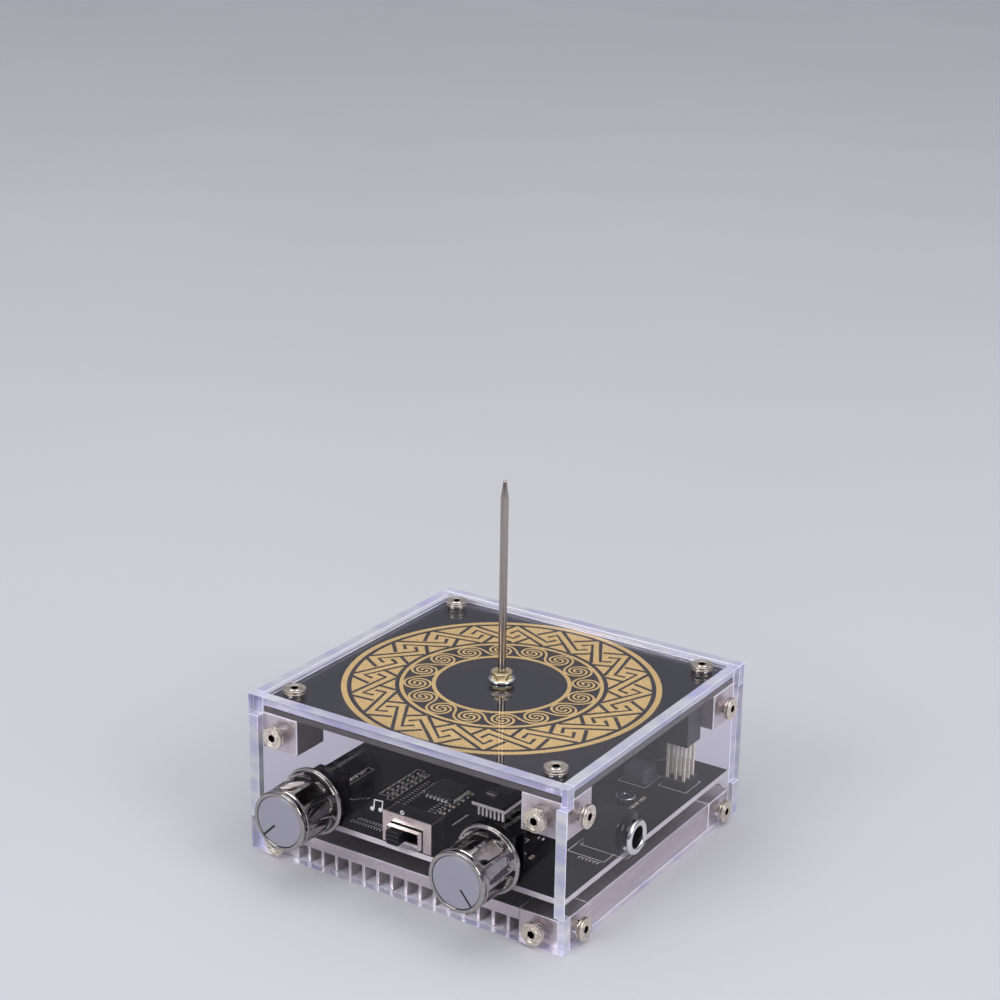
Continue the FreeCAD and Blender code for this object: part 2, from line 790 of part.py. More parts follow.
def small_screw(name, reach, head_radius, head_height):
    """A plain round-headed screw inside the case, its head's underside at height zero."""
    blank = turned(f"{name}_blank", [
        (0, -reach), (size.screw_radius, -reach), (size.screw_radius, 0), (head_radius, 0),
        (head_radius, head_height - size.head_chamfer), (head_radius - size.head_chamfer, head_height),
        (0, head_height),
    ])
    key = hexagon(f"{name}_key", size.hex_key_flats, size.hex_key_depth, (0, 0, head_height), "down")
    return cut(name, blank, [key])


def make_transistors():
    """Two power transistors lying on their pads, with their leads bent up to the board."""
    pads = []
    cases = []
    tabs = []
    leads = []
    screws = []
    pad_top = heatsink_top + size.pad_thickness
    tab_back = transistor_y
    tab_front = tab_back - size.tab_length
    screw = small_screw("tab_screw", size.pad_thickness + size.tab_thickness + size.board_screw_bite,
                        size.tab_screw_head_radius, size.tab_screw_head_height)
    for side, sign in SIDES.items():
        middle_x = sign * transistor_x
        low_x = middle_x - size.tab_width / 2
        spot = (middle_x, tab_screw_y)
        pad_corner = (low_x - size.pad_margin, tab_front - size.pad_margin, heatsink_top)
        pad_lengths = (size.tab_width + size.pad_margin * 2, size.tab_length + size.pad_margin * 2,
                       size.pad_thickness)
        pad = box(f"pad_{side}", pad_corner, pad_lengths)
        pad_hole = cylinder(f"pad_{side}_hole", size.screw_hole_radius, size.pad_thickness,
                            (*spot, heatsink_top))
        pads.append(cut(f"pad_{side}_cut", pad, [pad_hole]))
        tab = box(f"tab_{side}", (low_x, tab_front, pad_top),
                  (size.tab_width, size.tab_length, size.tab_thickness))
        tab_hole = cylinder(f"tab_{side}_hole", size.screw_hole_radius, size.tab_thickness,
                            (*spot, pad_top))
        tabs.append(cut(f"tab_{side}_cut", tab, [tab_hole]))
        case_bottom = pad_top + size.tab_thickness
        case_rise = size.case_thickness - size.tab_thickness
        cases.append(box(f"transistor_case_{side}", (low_x, tab_back - size.case_length, case_bottom),
                         (size.tab_width, size.case_length, case_rise)))
        lead_bottom = case_bottom + size.case_step
        for number in range(TRANSISTOR_LEADS):
            lead_x = middle_x + from_middle(number, TRANSISTOR_LEADS, size.lead_spacing)
            run = box(f"lead_run_{side}_{number}", (lead_x - size.lead_side / 2, tab_back, lead_bottom),
                      (size.lead_side, size.lead_run, size.lead_side))
            rise_y = tab_back + size.lead_run - size.lead_side
            rise = box(f"lead_rise_{side}_{number}", (lead_x - size.lead_side / 2, rise_y, lead_bottom),
                       (size.lead_side, size.lead_side, main_board_under - lead_bottom))
            leads.append(fused(f"lead_{side}_{number}", [run, rise]))
        screws.append(((*spot, case_bottom), "up"))
    keep(group("thermal_pads", pads))
    keep(group("transistor_tabs", tabs))
    keep(group("transistor_cases", cases))
    keep(group("transistor_leads", leads))
    keep(copies("transistor_screws", screw, screws))


def make_potentiometers():
    """The fixed pieces of both potentiometers: bodies, bushings, nuts and legs."""
    bodies = []
    bushings = []
    nuts = []
    legs = []
    bore = size.shaft_radius + size.shaft_clearance
    body_bottom = size.knob_axis_height - size.pot_height / 2
    for side, sign in SIDES.items():
        middle_x = sign * knob_x
        blank = box(f"pot_body_{side}_blank", (middle_x - size.pot_width / 2, -inside_y, body_bottom),
                    (size.pot_width, size.pot_depth, size.pot_height))
        seat = cylinder(f"pot_body_{side}_seat", bore, size.shaft_seat,
                        (middle_x, -inside_y, size.knob_axis_height), "back")
        bodies.append(cut(f"pot_body_{side}", blank, [seat]))
        profile = ring_profile(bore, size.bushing_radius, measure(0), size.bushing_length)
        bushings.append(turned(f"bushing_{side}", profile,
                               (middle_x, -inside_y, size.knob_axis_height), "front"))
        nut_spot = (middle_x, -half_depth, size.knob_axis_height)
        nut = hexagon(f"pot_nut_{side}_blank", size.pot_nut_flats, size.pot_nut_thickness, nut_spot,
                      "front")
        hole = cylinder(f"pot_nut_{side}_hole", size.bushing_radius, size.pot_nut_thickness,
                        nut_spot, "front")
        nuts.append(cut(f"pot_nut_{side}", nut, [hole]))
        for number in range(POT_LEGS):
            leg_x = middle_x + from_middle(number, POT_LEGS, size.pot_leg_spacing)
            leg_y = -inside_y + size.pot_depth - size.pot_leg_side
            legs.append(standing_box(f"pot_leg_{side}_{number}", (leg_x, leg_y, size.main_board_top),
                                     (size.pot_leg_side, size.pot_leg_side,
                                      body_bottom - size.main_board_top)))
    keep(group("pot_bodies", bodies))
    keep(group("pot_bushings", bushings))
    keep(group("pot_nuts", nuts))
    keep(group("pot_legs", legs))


def knob_profile():
    """A knob from its open back to its face: recess, skirt, body, bevel, cap seat and shaft bore."""
    rim_radius = size.knob_front_radius - size.knob_bevel / 2
    cap_radius = rim_radius - size.knob_rim
    face = size.knob_length
    bore = size.shaft_radius + size.knob_shaft_gap
    bore_top = size.knob_recess_depth + size.knob_shaft_grip
    return [
        (size.knob_recess_radius, 0), (size.knob_skirt_radius, 0),
        (size.knob_skirt_radius, size.knob_skirt_thickness),
        (size.knob_back_radius, size.knob_skirt_thickness + size.knob_skirt_slope),
        (size.knob_front_radius, face - size.knob_bevel), (rim_radius, face),
        (cap_radius, face), (cap_radius, face - size.knob_cap_recess),
        (0, face - size.knob_cap_recess), (0, bore_top), (bore, bore_top),
        (bore, size.knob_recess_depth), (size.knob_recess_radius, size.knob_recess_depth),
    ]


def make_knob(side, sign, pointer_angle):
    """One knob with its cap and the potentiometer shaft that it grips."""
    middle = (sign * knob_x, -half_depth - size.knob_gap, size.knob_axis_height)
    name = f"{side}_knob"
    blank = turned(f"{name}_blank", knob_profile())
    flute_start = size.knob_skirt_thickness + size.knob_skirt_slope + size.flute_end
    flute_end = size.knob_length - size.knob_bevel - size.flute_end
    flute_reach = size.knob_back_radius
    flute = box(f"{name}_flute", (size.knob_front_radius - size.flute_depth, -size.flute_width / 2,
                                  flute_start),
                (flute_reach, size.flute_width, flute_end - flute_start))
    flutes = ring_of(f"{name}_flute_copy", flute, FLUTE_COUNT)
    knob = cut(f"{name}_model", blank, flutes)
    keep(place(group(name, [knob]), middle, "front"))
    cap_radius = size.knob_front_radius - size.knob_bevel / 2 - size.knob_rim - size.knob_cap_gap
    seat = size.knob_length - size.knob_cap_recess
    disc = cylinder(f"{name}_cap_disc", cap_radius, size.knob_cap_thickness, (0, 0, seat))
    pointer = box(f"{name}_pointer", (size.pointer_start, -size.pointer_width / 2,
                                      seat + size.knob_cap_thickness - size.pointer_depth),
                  (size.pointer_length, size.pointer_width, size.knob_cap_thickness))
    turned_pointer = group(f"{name}_pointer_turned", [pointer])
    bind(turned_pointer, "Placement.Rotation.Angle", pointer_angle)
    cap = cut(f"{name}_cap_model", disc, [turned_pointer])
    keep(place(group(f"{name}_cap", [cap]), middle, "front"))
    inner_end = size.shaft_seat
    start_y = -inside_y + inner_end
    outer_end = -half_depth - size.knob_gap - size.knob_recess_depth - size.knob_shaft_grip
    keep(cylinder(f"{side}_pot_shaft", size.shaft_radius, start_y - outer_end,
                  (sign * knob_x, start_y, size.knob_axis_height), "front"))


def make_switch():
    """The slide switch: black body, metal face plate with its window, and the lever."""
    body_front = -inside_y + size.switch_plate_thickness
    blank = box("switch_body_blank", (switch_x - size.switch_width / 2, body_front, size.main_board_top),
                (size.switch_width, size.switch_depth, size.switch_height))
    track_x = size.lever_travel + size.lever_width + size.lever_gap * 2
    track_z = size.lever_height + size.lever_gap * 2
    track_y = size.lever_inside + size.lever_gap
    track = box("switch_track", (switch_x - track_x / 2, body_front,
                                 size.lever_axis_height - track_z / 2), (track_x, track_y, track_z))
    keep(cut("switch_body", blank, [track]))
    half_plate = size.switch_width / 2 + size.switch_plate_overhang
    plate_top = size.main_board_top + size.switch_height + size.switch_plate_overhang
    edge = rectangle(switch_x - half_plate, size.main_board_top + size.switch_plate_foot,
                     switch_x + half_plate, plate_top)
    window = rectangle(switch_x - size.switch_window_width / 2,
                       size.lever_axis_height - size.switch_window_height / 2,
                       switch_x + size.switch_window_width / 2,
                       size.lever_axis_height + size.switch_window_height / 2)
    keep(plate("switch_plate", "XZ_Plane", [edge, window], [], size.switch_plate_thickness,
               (0, body_front, 0)))
    low_x = switch_x - (size.lever_travel + size.lever_width) / 2
    high_x = low_x + size.lever_width
    low_z = size.lever_axis_height - size.lever_height / 2
    high_z = low_z + size.lever_height
    chamfer = size.lever_chamfer
    outline = [(low_x + chamfer, low_z), (high_x - chamfer, low_z), (high_x, low_z + chamfer),
               (high_x, high_z - chamfer), (high_x - chamfer, high_z), (low_x + chamfer, high_z),
               (low_x, high_z - chamfer), (low_x, low_z + chamfer)]
    lever_back = body_front + size.lever_inside
    length = lever_back + half_depth + size.lever_stand_out
    keep(plate("switch_lever", "XZ_Plane", [outline], [], length, (0, lever_back, 0)))


def make_power_socket():
    """The round power socket: body with its barrel, metal ring and centre pin."""
    axis = (socket_y, size.socket_axis_height)
    body_x = inside_x - size.socket_body_length - size.board_gap
    blank = box("socket_box", (body_x, socket_y - size.socket_body_width / 2,
                               size.main_board_top),
                (size.socket_body_length, size.socket_body_width, size.socket_body_height))
    barrel = cylinder("socket_barrel", size.socket_barrel_radius, half_width - body_x, (body_x, *axis),
                      "right")
    bore_x = half_width - size.socket_bore_depth
    bore = cylinder("socket_bore", size.socket_bore_radius, size.socket_bore_depth, (bore_x, *axis),
                    "right")
    pin_x = bore_x - size.socket_pin_seat
    pin_hole = cylinder("socket_pin_hole", size.socket_pin_radius, size.socket_pin_seat, (pin_x, *axis),
                        "right")
    body = fused("socket_body_blank", [blank, barrel])
    keep(cut("power_socket_body", body, [bore, pin_hole]))
    ring_front = size.socket_ring_thickness
    ring_edge = size.socket_ring_radius - size.socket_ring_chamfer
    profile = [(size.socket_bore_radius, 0), (size.socket_ring_radius, 0),
               (size.socket_ring_radius, ring_front - size.socket_ring_chamfer), (ring_edge, ring_front),
               (size.socket_bore_radius, ring_front)]
    keep(turned("power_socket_ring", profile, (half_width, *axis), "right"))
    pin_length = half_width - size.socket_pin_setback - pin_x
    keep(cylinder("power_socket_pin", size.socket_pin_radius, pin_length, (pin_x, *axis), "right"))


def make_header():
    """The pin header on the main board and the tall socket under the top board."""
    socket_bottom = top_board_under - size.header_socket_height
    base = standing_box("header_base_blank", (header_x, header_y, size.main_board_top),
                        (header_side, header_side, size.header_base_height))
    tall = standing_box("header_socket_blank", (header_x, header_y, socket_bottom),
                        (header_side, header_side, size.header_socket_height))
    pin_top = socket_bottom + size.header_pin_depth
    pins = []
    base_holes = []
    socket_holes = []
    for row in range(HEADER_ROWS):
        for column in range(HEADER_ROWS):
            spot = (header_x + from_middle(column, HEADER_ROWS, size.header_spacing),
                    header_y + from_middle(row, HEADER_ROWS, size.header_spacing))
            tag = f"{row}_{column}"
            pin_side = size.header_pin_side
            pins.append(standing_box(f"header_pin_{tag}", (*spot, size.main_board_top),
                                     (pin_side, pin_side, pin_top - size.main_board_top)))
            base_holes.append(standing_box(f"base_hole_{tag}", (*spot, size.main_board_top),
                                           (pin_side, pin_side, size.header_base_height)))
            socket_holes.append(standing_box(f"socket_hole_{tag}", (*spot, socket_bottom),
                                             (pin_side, pin_side, size.header_pin_depth)))
    keep(group("header_pins", pins))
    keep(cut("header_base", base, base_holes))
    keep(cut("header_socket", tall, socket_holes))


def leg_row(name, start, step, count, lengths):
    """A straight row of equal chip legs on the main board."""
    legs = []
    for number in range(count):
        corner = (start[0] + number * step[0], start[1] + number * step[1], size.main_board_top)
        legs.append(box(f"{name}_{number}", corner, lengths))
    return legs


def make_chips():
    """The controller and the two gate drivers with their legs."""
    top = size.main_board_top
    side_length = size.controller_side
    low_x = -size.controller_middle_distance - side_length / 2
    low_y = size.controller_front_distance - inside_y - side_length / 2
    chips = [box("controller", (low_x, low_y, top), (side_length, side_length, size.controller_height))]
    legs = []
    spacing = size.chip_leg_spacing
    across = (size.chip_leg_width, size.chip_leg_reach, size.chip_leg_height)
    along = (size.chip_leg_reach, size.chip_leg_width, size.chip_leg_height)
    first = (side_length - (CONTROLLER_LEGS_PER_SIDE - 1) * spacing - size.chip_leg_width) / 2
    rows = {
        "south": ((low_x + first, low_y - size.chip_leg_reach), (spacing, 0), across),
        "north": ((low_x + first, low_y + side_length), (spacing, 0), across),
        "west": ((low_x - size.chip_leg_reach, low_y + first), (0, spacing), along),
        "east": ((low_x + side_length, low_y + first), (0, spacing), along),
    }
    for edge, (start, step, lengths) in rows.items():
        legs += leg_row(f"controller_leg_{edge}", start, step, CONTROLLER_LEGS_PER_SIDE, lengths)
    first = (size.driver_length - (DRIVER_LEGS_PER_SIDE - 1) * spacing - size.chip_leg_width) / 2
    for side, sign in SIDES.items():
        low_x = sign * size.driver_spacing / 2 - size.driver_length / 2
        low_y = size.driver_front_distance - inside_y - size.driver_width / 2
        chips.append(box(f"driver_{side}", (low_x, low_y, top),
                         (size.driver_length, size.driver_width, size.driver_height)))
        for edge, start_y in (("south", low_y - size.chip_leg_reach), ("north", low_y + size.driver_width)):
            legs += leg_row(f"driver_leg_{side}_{edge}", (low_x + first, start_y), (spacing, 0),
                            DRIVER_LEGS_PER_SIDE, across)
    keep(group("logic_chips", chips))
    keep(group("chip_legs", legs))


def make_audio_module():
    """The small wireless audio board on its two rows of pins."""
    top = size.main_board_top
    pins = []
    first_x = size.module_middle_distance
    first_y = size.module_front_distance - inside_y
    for row, row_y in enumerate((first_y, first_y + size.module_depth)):
        for number in range(MODULE_PINS):
            spot = (first_x + number * size.module_pin_spacing, row_y, top)
            pins.append(standing_box(f"module_pin_{row}_{number}", spot,
                                     (size.module_pin_side, size.module_pin_side, size.module_pin_height)))
    keep(group("audio_module_pins", pins))
    length = (MODULE_PINS - 1) * size.module_pin_spacing + size.module_margin * 2
    keep(box("audio_module_board", (first_x - size.module_margin, first_y - size.module_margin,
                                    top + size.module_pin_height),
             (length, size.module_depth + size.module_margin * 2, size.module_thickness)))


def make_passive_parts():
    """The two reservoir capacitors and the power inductor."""
    cans = []
    right_can_x = inside_x - size.capacitor_side_gap - size.capacitor_radius
    for number in range(2):
        middle_x = right_can_x - number * size.capacitor_spacing
        cans.append(cylinder(f"capacitor_{number}", size.capacitor_radius, size.capacitor_height,
                             (middle_x, capacitor_y, size.main_board_top)))
    keep(group("reservoir_capacitors", cans))
    high_x = header_x - header_side / 2 - size.inductor_header_gap
    high_y = capacitor_y - size.capacitor_radius - size.inductor_capacitor_gap
    low_x = high_x - size.inductor_side
    low_y = high_y - size.inductor_side
    trim = size.inductor_chamfer
    outline = [(low_x + trim, low_y), (high_x - trim, low_y), (high_x, low_y + trim),
               (high_x, high_y - trim), (high_x - trim, high_y), (low_x + trim, high_y),
               (low_x, high_y - trim), (low_x, low_y + trim)]
    keep(plate("inductor", "XY_Plane", [outline], [], size.inductor_height, (0, 0, size.main_board_top)))


make_walls()
make_top_board()
make_windings()
make_corner_blocks()
make_case_screws()
make_needle()
make_heatsink()
make_main_board()
make_transistors()
make_potentiometers()
make_knob("left", -1, size.left_pointer_angle)
make_knob("right", 1, size.right_pointer_angle)
make_switch()
make_power_socket()
make_header()
make_chips()
make_audio_module()
make_passive_parts()
doc.recompute()

for item in doc.Objects:
    if "Invalid" in item.State or "Error" in item.State:
        raise RuntimeError(f"{item.Label} failed: {item.State}")
for item in nodes:
    if item.Shape.isNull() or not item.Shape.isValid() or not item.Shape.Solids:
        raise RuntimeError(f"{item.Label} has no valid solid")

os.makedirs("parts", exist_ok=True)
for item in nodes:
    item.Shape.exportStep(f"parts/{item.Label}.step")
print(f"{len(nodes)} nodes written")
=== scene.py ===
import math

import bpy
from mathutils import Matrix, Quaternion, Vector


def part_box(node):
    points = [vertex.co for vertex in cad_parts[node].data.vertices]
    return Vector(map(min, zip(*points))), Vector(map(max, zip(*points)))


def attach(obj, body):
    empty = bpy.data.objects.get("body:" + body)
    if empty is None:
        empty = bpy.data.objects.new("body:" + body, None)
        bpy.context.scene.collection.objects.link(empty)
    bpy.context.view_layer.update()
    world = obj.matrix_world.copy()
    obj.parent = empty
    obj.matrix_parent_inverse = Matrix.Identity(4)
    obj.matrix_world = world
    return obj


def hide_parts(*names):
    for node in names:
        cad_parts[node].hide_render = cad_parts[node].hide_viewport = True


MM = 0.001
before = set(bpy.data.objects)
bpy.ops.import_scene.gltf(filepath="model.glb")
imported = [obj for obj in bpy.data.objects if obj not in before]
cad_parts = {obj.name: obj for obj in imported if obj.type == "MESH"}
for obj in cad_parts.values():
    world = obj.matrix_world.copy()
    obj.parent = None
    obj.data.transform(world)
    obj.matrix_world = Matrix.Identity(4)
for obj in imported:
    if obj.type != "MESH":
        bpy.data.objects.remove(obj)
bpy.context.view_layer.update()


def reach(node):
    """The lowest and the highest corner of a solid, in millimetres."""
    low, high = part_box(node)
    return low / MM, high / MM


# Places taken from the solids, in millimetres like all sizes below
FRONT_FACE = reach("front_wall")[0].y
BACK_FACE = reach("back_wall")[1].y
LEFT_FACE = reach("left_wall")[0].x
RIGHT_FACE = reach("right_wall")[1].x
COVER_UNDER = reach("cover_plate")[0].z
COVER_TOP = reach("cover_plate")[1].z
GOLD_UNDER = reach("gold_pattern")[0].z
BOARD_TOP = reach("main_board")[1].z

# Camera that stands where the photographer's did
CAMERA_TARGET = (-1.5, 0.0, 97.2)
CAMERA_DISTANCE = 550.8
CAMERA_AZIMUTH = 32.76
CAMERA_ELEVATION = 18.99
CAMERA_ROLL = 0.92
CAMERA_LENS = 74.67

# Hairline between pieces that touch, so that no two faces lie in one plane
HAIRLINE = 0.02

# Broken edges: how wide they are on each kind of piece
SHEET_TRIM = 0.3
BLOCK_TRIM = 0.25
HEATSINK_TRIM = 0.2
KNOB_TRIM = 0.1
STAMPED_TRIM = 0.12

# An acrylic sheet's cut faces carry a painted glow within this distance of its outline, and stay clear
# round its openings
PAINTED_GLOW_REACH = 3.4
# A face lies in one of the main directions when a part of its normal is above this
IN_LINE = 0.98

# Gold ornament: radii and line widths
RING_BANDS = ((42.25, 43.8), (26.95, 27.95), (18.05, 19.15))
KEY_BAND = (29.15, 41.0)
KEY_COUNT = 20
KEY_LINE = 1.15
KEY_START = 9.0
SPIRAL_COUNT = 16
SPIRAL_MIDDLE = 23.05
SPIRAL_RADIUS = 4.25
SPIRAL_HEART = 0.5
SPIRAL_TURN = 490
SPIRAL_LINE = 0.7
SPIRAL_START = 11.25
SPIRAL_STEPS = 16
# The black lines of one key motif, as (motifs across, share of the band's width)
KEY_RUNS = [
    [(0.90, 1.04), (0.88, 0.985), (0.01, 0.245), (-0.165, 0.46)],
    [(0.05, -0.04), (0.07, 0.015), (0.94, 0.755), (1.115, 0.54)],
    [(1.03, 1.03), (1.415, 0.61)],
    [(-0.08, -0.03), (-0.465, 0.39)],
]
# The print clears the board under it and the cover over it, and its black lines stand over the gold
PRINT_LIFT = 0.01
PRINT_HEADROOM = 0.035
KEY_LINE_RISE = 0.03

# Case screws and their washers: outlines as (radius, height) above the face that they stand on
SCREW_HEAD = [(1.5, 0.0), (2.5, 0.0), (2.5, 0.3), (3.05, 0.3), (3.15, 0.4), (3.15, 0.7), (3.05, 0.8),
              (2.25, 0.8), (2.15, 0.74), (1.98, 0.74), (1.88, 0.9), (1.34, 0.9), (1.26, 0.84)]
WASHER = [(1.65, 0.0), (3.0, 0.0), (3.1, 0.1), (3.1, 0.4), (3.0, 0.5), (1.75, 0.5), (1.65, 0.4)]
SHANK_RADIUS = 1.42
SHANK_TIP = [(1.15, 0.0), (SHANK_RADIUS, 0.35)]
TOP_SCREW_LENGTH = 8.9
SIDE_SCREW_LENGTH = 7.3
KEY_HOLE_RADIUS = 1.16
KEY_HOLE_DEPTH = 2.4

# Discharge needle and what holds it: outlines as (radius, height above the table)
NEEDLE = [(1.1, 37.8), (1.1, 97.8), (1.06, 98.3), (0.52, 102.3), (0.4, 102.8), (0.22, 103.0)]
NEEDLE_WASHER = [(1.2, 45.52), (3.5, 45.52), (3.72, 45.64), (3.8, 45.88), (3.72, 46.2), (3.45, 46.38),
                 (3.0, 46.44), (1.2, 46.44)]
COLLAR = [(1.2, 46.46), (2.7, 46.46), (2.85, 46.56), (2.85, 47.36), (2.5, 47.42), (2.5, 47.62),
          (2.82, 47.64), (2.95, 47.76), (2.95, 48.1), (2.8, 48.24), (1.9, 48.25), (1.65, 48.12),
          (1.6, 47.86), (1.2, 47.86)]
KNURL_HEIGHTS = (46.5, 47.38)
KNURL_DEPTH = 0.94
KNURL_INSIDE = 2.8
KNURL_STEP = 5

# Knobs: outline as (radius, distance from the open back), and the flat panels round the body
KNOB = [(6.3, 0.0), (9.35, 0.0), (9.5, 0.12), (9.5, 0.7), (9.35, 0.85), (8.95, 0.9), (8.75, 1.1),
        (8.6, 1.9), (8.33, 13.0), (8.12, 13.08), (8.12, 13.3), (8.3, 13.38), (8.3, 14.6), (8.15, 14.85),
        (7.9, 14.95), (7.4, 15.0), (7.2, 14.92), (7.15, 14.1), (3.02, 14.1), (3.02, 2.6), (6.3, 2.6)]
KNOB_CAP = [(6.9, 14.12), (7.08, 14.2), (7.08, 14.68), (6.95, 14.8)]
PANEL_COUNT = 10
PANEL_WIDTH = 4.1
PANEL_RADIUS = 7.98
PANEL_OUTSIDE = 9.3
PANEL_ENDS = (3.0, 12.4)
PANEL_CORNER = 1.3
PANEL_START = 18
POINTER_ENDS = (2.0, 7.0)
POINTER_WIDTH = 0.6
POINTER_DEPTH = 0.22
POINTER_SUNK = 0.06
POINTER_GAP = 0.01
POINTER_ANGLES = {"left": 225, "right": 310}

# Potentiometers: how far the tinned shell stops short of the body's front and back, and its lugs
SHELL_FRONT_GAP = 1.6
SHELL_BACK_GAP = 0.4
SHELL_SKIN = 0.05
LUG_SPREAD = 0.6
LUG_HALF_WIDTH = 0.8
LUG_REACH = (0.2, 1.7)
LUG_DROP = (2.2, 0.2)
POT_DOME = [(2.4, 0), (2.4, 0.2), (2.2, 0.35)]

# Slide switch: sheet metal, the opening that is cut under the window, its feet and lever ridges
SWITCH_METAL = 0.32
SILL_OPENING = (0.7, 2.5)
SILL_RISE = 0.5
FOOT_INSET = 1.2
FOOT_HALF_WIDTH = 0.9
FOOT_HEIGHT = 3
RIDGE_COUNT = 7
GROOVE_DEPTH = 0.3

# White print: height of the ink and width of its lines, and the marks over the switch as (x, height)
INK_HEIGHT = 0.03
INK_LINE = 0.28
NOTE_LINE = 0.5
NOTE_STEMS = [(-8.5, 24.1), (-8.2, 26.75), (-5.6, 27.0), (-5.9, 24.4)]
NOTE_HEADS = [(-9.0, 24.0), (-6.4, 24.3)]
NOTE_HEAD_RADIUS = 0.62
MARK_RING = (0.6, 25.6)
MARK_RING_RADII = (0.3, 0.62)

# Print on the main board: frames as two corners, and rows of dashes as (x, first y, how many)
PRINTED_FRAMES = [(-24, -23, -21.4, -5), (-20.5, -24.5, -19, -6), (9, -38, 18, -36.5),
                  (-36, -30, -34, -12), (20, -24, 24, -22), (34, -22, 45, -14)]
PRINTED_DASHES = [(-17.4, -24, 12), (-15.4, -24, 12), (-7.4, -25, 14), (-5.6, -25, 14)]
DASH_LENGTH = 1.1
DASH_STEP = 1.3
# Rows of small ticks, as (first x, first y, step in x, step in y, how many), and the bends of a tick
PRINTED_TICKS = [(38.5, -24, 1.1, 0, 6), (-20.6, -40.6, 0.95, 0, 11), (-19.6, -38.6, 0.95, 0, 9),
                 (24, -38, 1.1, 0, 7), (-31, -34, 0.9, 0.9, 8), (3, -27, 0, 1.2, 6)]
TICK = [(0, 0), (-0.3, 0.8), (0.3, 1.3)]
PRINTED_TRIANGLE = [(-29.6, -31), (-27.9, -30.2), (-29.6, -29.4), (-29.6, -31.1)]
PRINT_MARGIN = 0.5

# Rows of small surface parts: first spot, step, how many, and whether they lie across
SMALL_PART_ROWS = [((-19.8, -23.5), (0, 2.2), 8, False), ((-22.7, -21.8), (0, 2.4), 7, False),
                   ((-3.0, -23.0), (0, 2.3), 7, False), ((-35.0, -28.0), (0, 2.5), 6, True),
                   ((22.0, -30.0), (2.6, 0), 4, True), ((26.5, -20.0), (0, 2.6), 6, False),
                   ((30.0, -17.0), (0, 2.6), 5, False), ((36.0, 4.0), (0, 2.6), 5, True),
                   ((-8.0, 4.0), (2.4, 0), 6, True), ((-30.0, 18.0), (2.6, 0), 7, True)]

# Parts on the audio board
ANTENNA_BENDS = 16
ANTENNA_STEP = 1.2
ANTENNA_REACH = (1.2, 4)
ANTENNA_LINE = 0.4

# Soft lamps in metres and watts: name, place, side and power, and the spot that they face
LAMPS = [("overhead softbox", (0.1, -0.1, 1.7), 1.5, 6.0),
         ("front softbox", (-0.45, -1.45, 0.95), 0.8, 10.0),
         ("right softbox", (1.3, -0.25, 0.9), 0.7, 7.0)]
LAMP_AIM = (0, 0, 0.03)
FLOOR_SIDE = 14


# ---------------------------------------------------------------- colours, nodes and grain

def linear(hex_colour):
    """An sRGB hex colour as the linear values that Blender takes."""
    channels = [int(hex_colour[i:i + 2], 16) / 255 for i in (1, 3, 5)]
    return tuple(c / 12.92 if c <= 0.04045 else ((c + 0.055) / 1.055) ** 2.4 for c in channels) + (1.0,)


def add_node(tree, kind, settings=None, inputs=None, links=None):
    """Adds a node, sets its properties and input values, and links its inputs to other nodes."""
    node = tree.nodes.new(kind)
    for name, value in (settings or {}).items():
        setattr(node, name, value)
    for socket, value in (inputs or {}).items():
        node.inputs[socket].default_value = value
    for socket, source in (links or {}).items():
        tree.links.new(source, node.inputs[socket])
    return node


def start_material(name, colour, roughness, **values):
    """A new material and its surface shader; the values are further inputs of that shader."""
    material = bpy.data.materials.new(name)
    material.use_nodes = True
    tree = material.node_tree
    tree.nodes.clear()
    inputs = {"Base Color": linear(colour), "Roughness": roughness}
    inputs.update({key.replace("_", " "): value for key, value in values.items()})
    shader = add_node(tree, "ShaderNodeBsdfPrincipled", inputs=inputs)
    add_node(tree, "ShaderNodeOutputMaterial", links={"Surface": shader.outputs["BSDF"]})
    return material, tree, shader


def add_grain(tree, shader, spacing, colours=None, rough=None, relief=0.0, stretch=(1, 1, 1), detail=3.0):
    """Noise of a real spacing in millimetres, which lets colour, roughness and relief wander."""
    place = add_node(tree, "ShaderNodeTexCoord")
    mapping = add_node(tree, "ShaderNodeMapping", inputs={"Scale": stretch},
                       links={"Vector": place.outputs["Object"]})
    noise = add_node(tree, "ShaderNodeTexNoise", inputs={"Scale": 1 / (spacing * MM), "Detail": detail},
                     links={"Vector": mapping.outputs["Vector"]})
    share = add_node(tree, "ShaderNodeMapRange",
                     inputs={"From Min": 0.3, "From Max": 0.7}, links={"Value": noise.outputs["Fac"]})
    colour = None
    if colours:
        colour = add_node(tree, "ShaderNodeMix", {"data_type": "RGBA"},
                          {6: linear(colours[0]), 7: linear(colours[1])}, {0: share.outputs["Result"]})
        tree.links.new(colour.outputs[2], shader.inputs["Base Color"])
    if rough:
        span = add_node(tree, "ShaderNodeMapRange", inputs={"To Min": rough[0], "To Max": rough[1]},
                        links={"Value": share.outputs["Result"]})
        tree.links.new(span.outputs["Result"], shader.inputs["Roughness"])
    if relief:
        bump = add_node(tree, "ShaderNodeBump", inputs={"Strength": 0.6, "Distance": relief * MM},
                        links={"Height": noise.outputs["Fac"]})
        tree.links.new(bump.outputs["Normal"], shader.inputs["Normal"])
    return colour


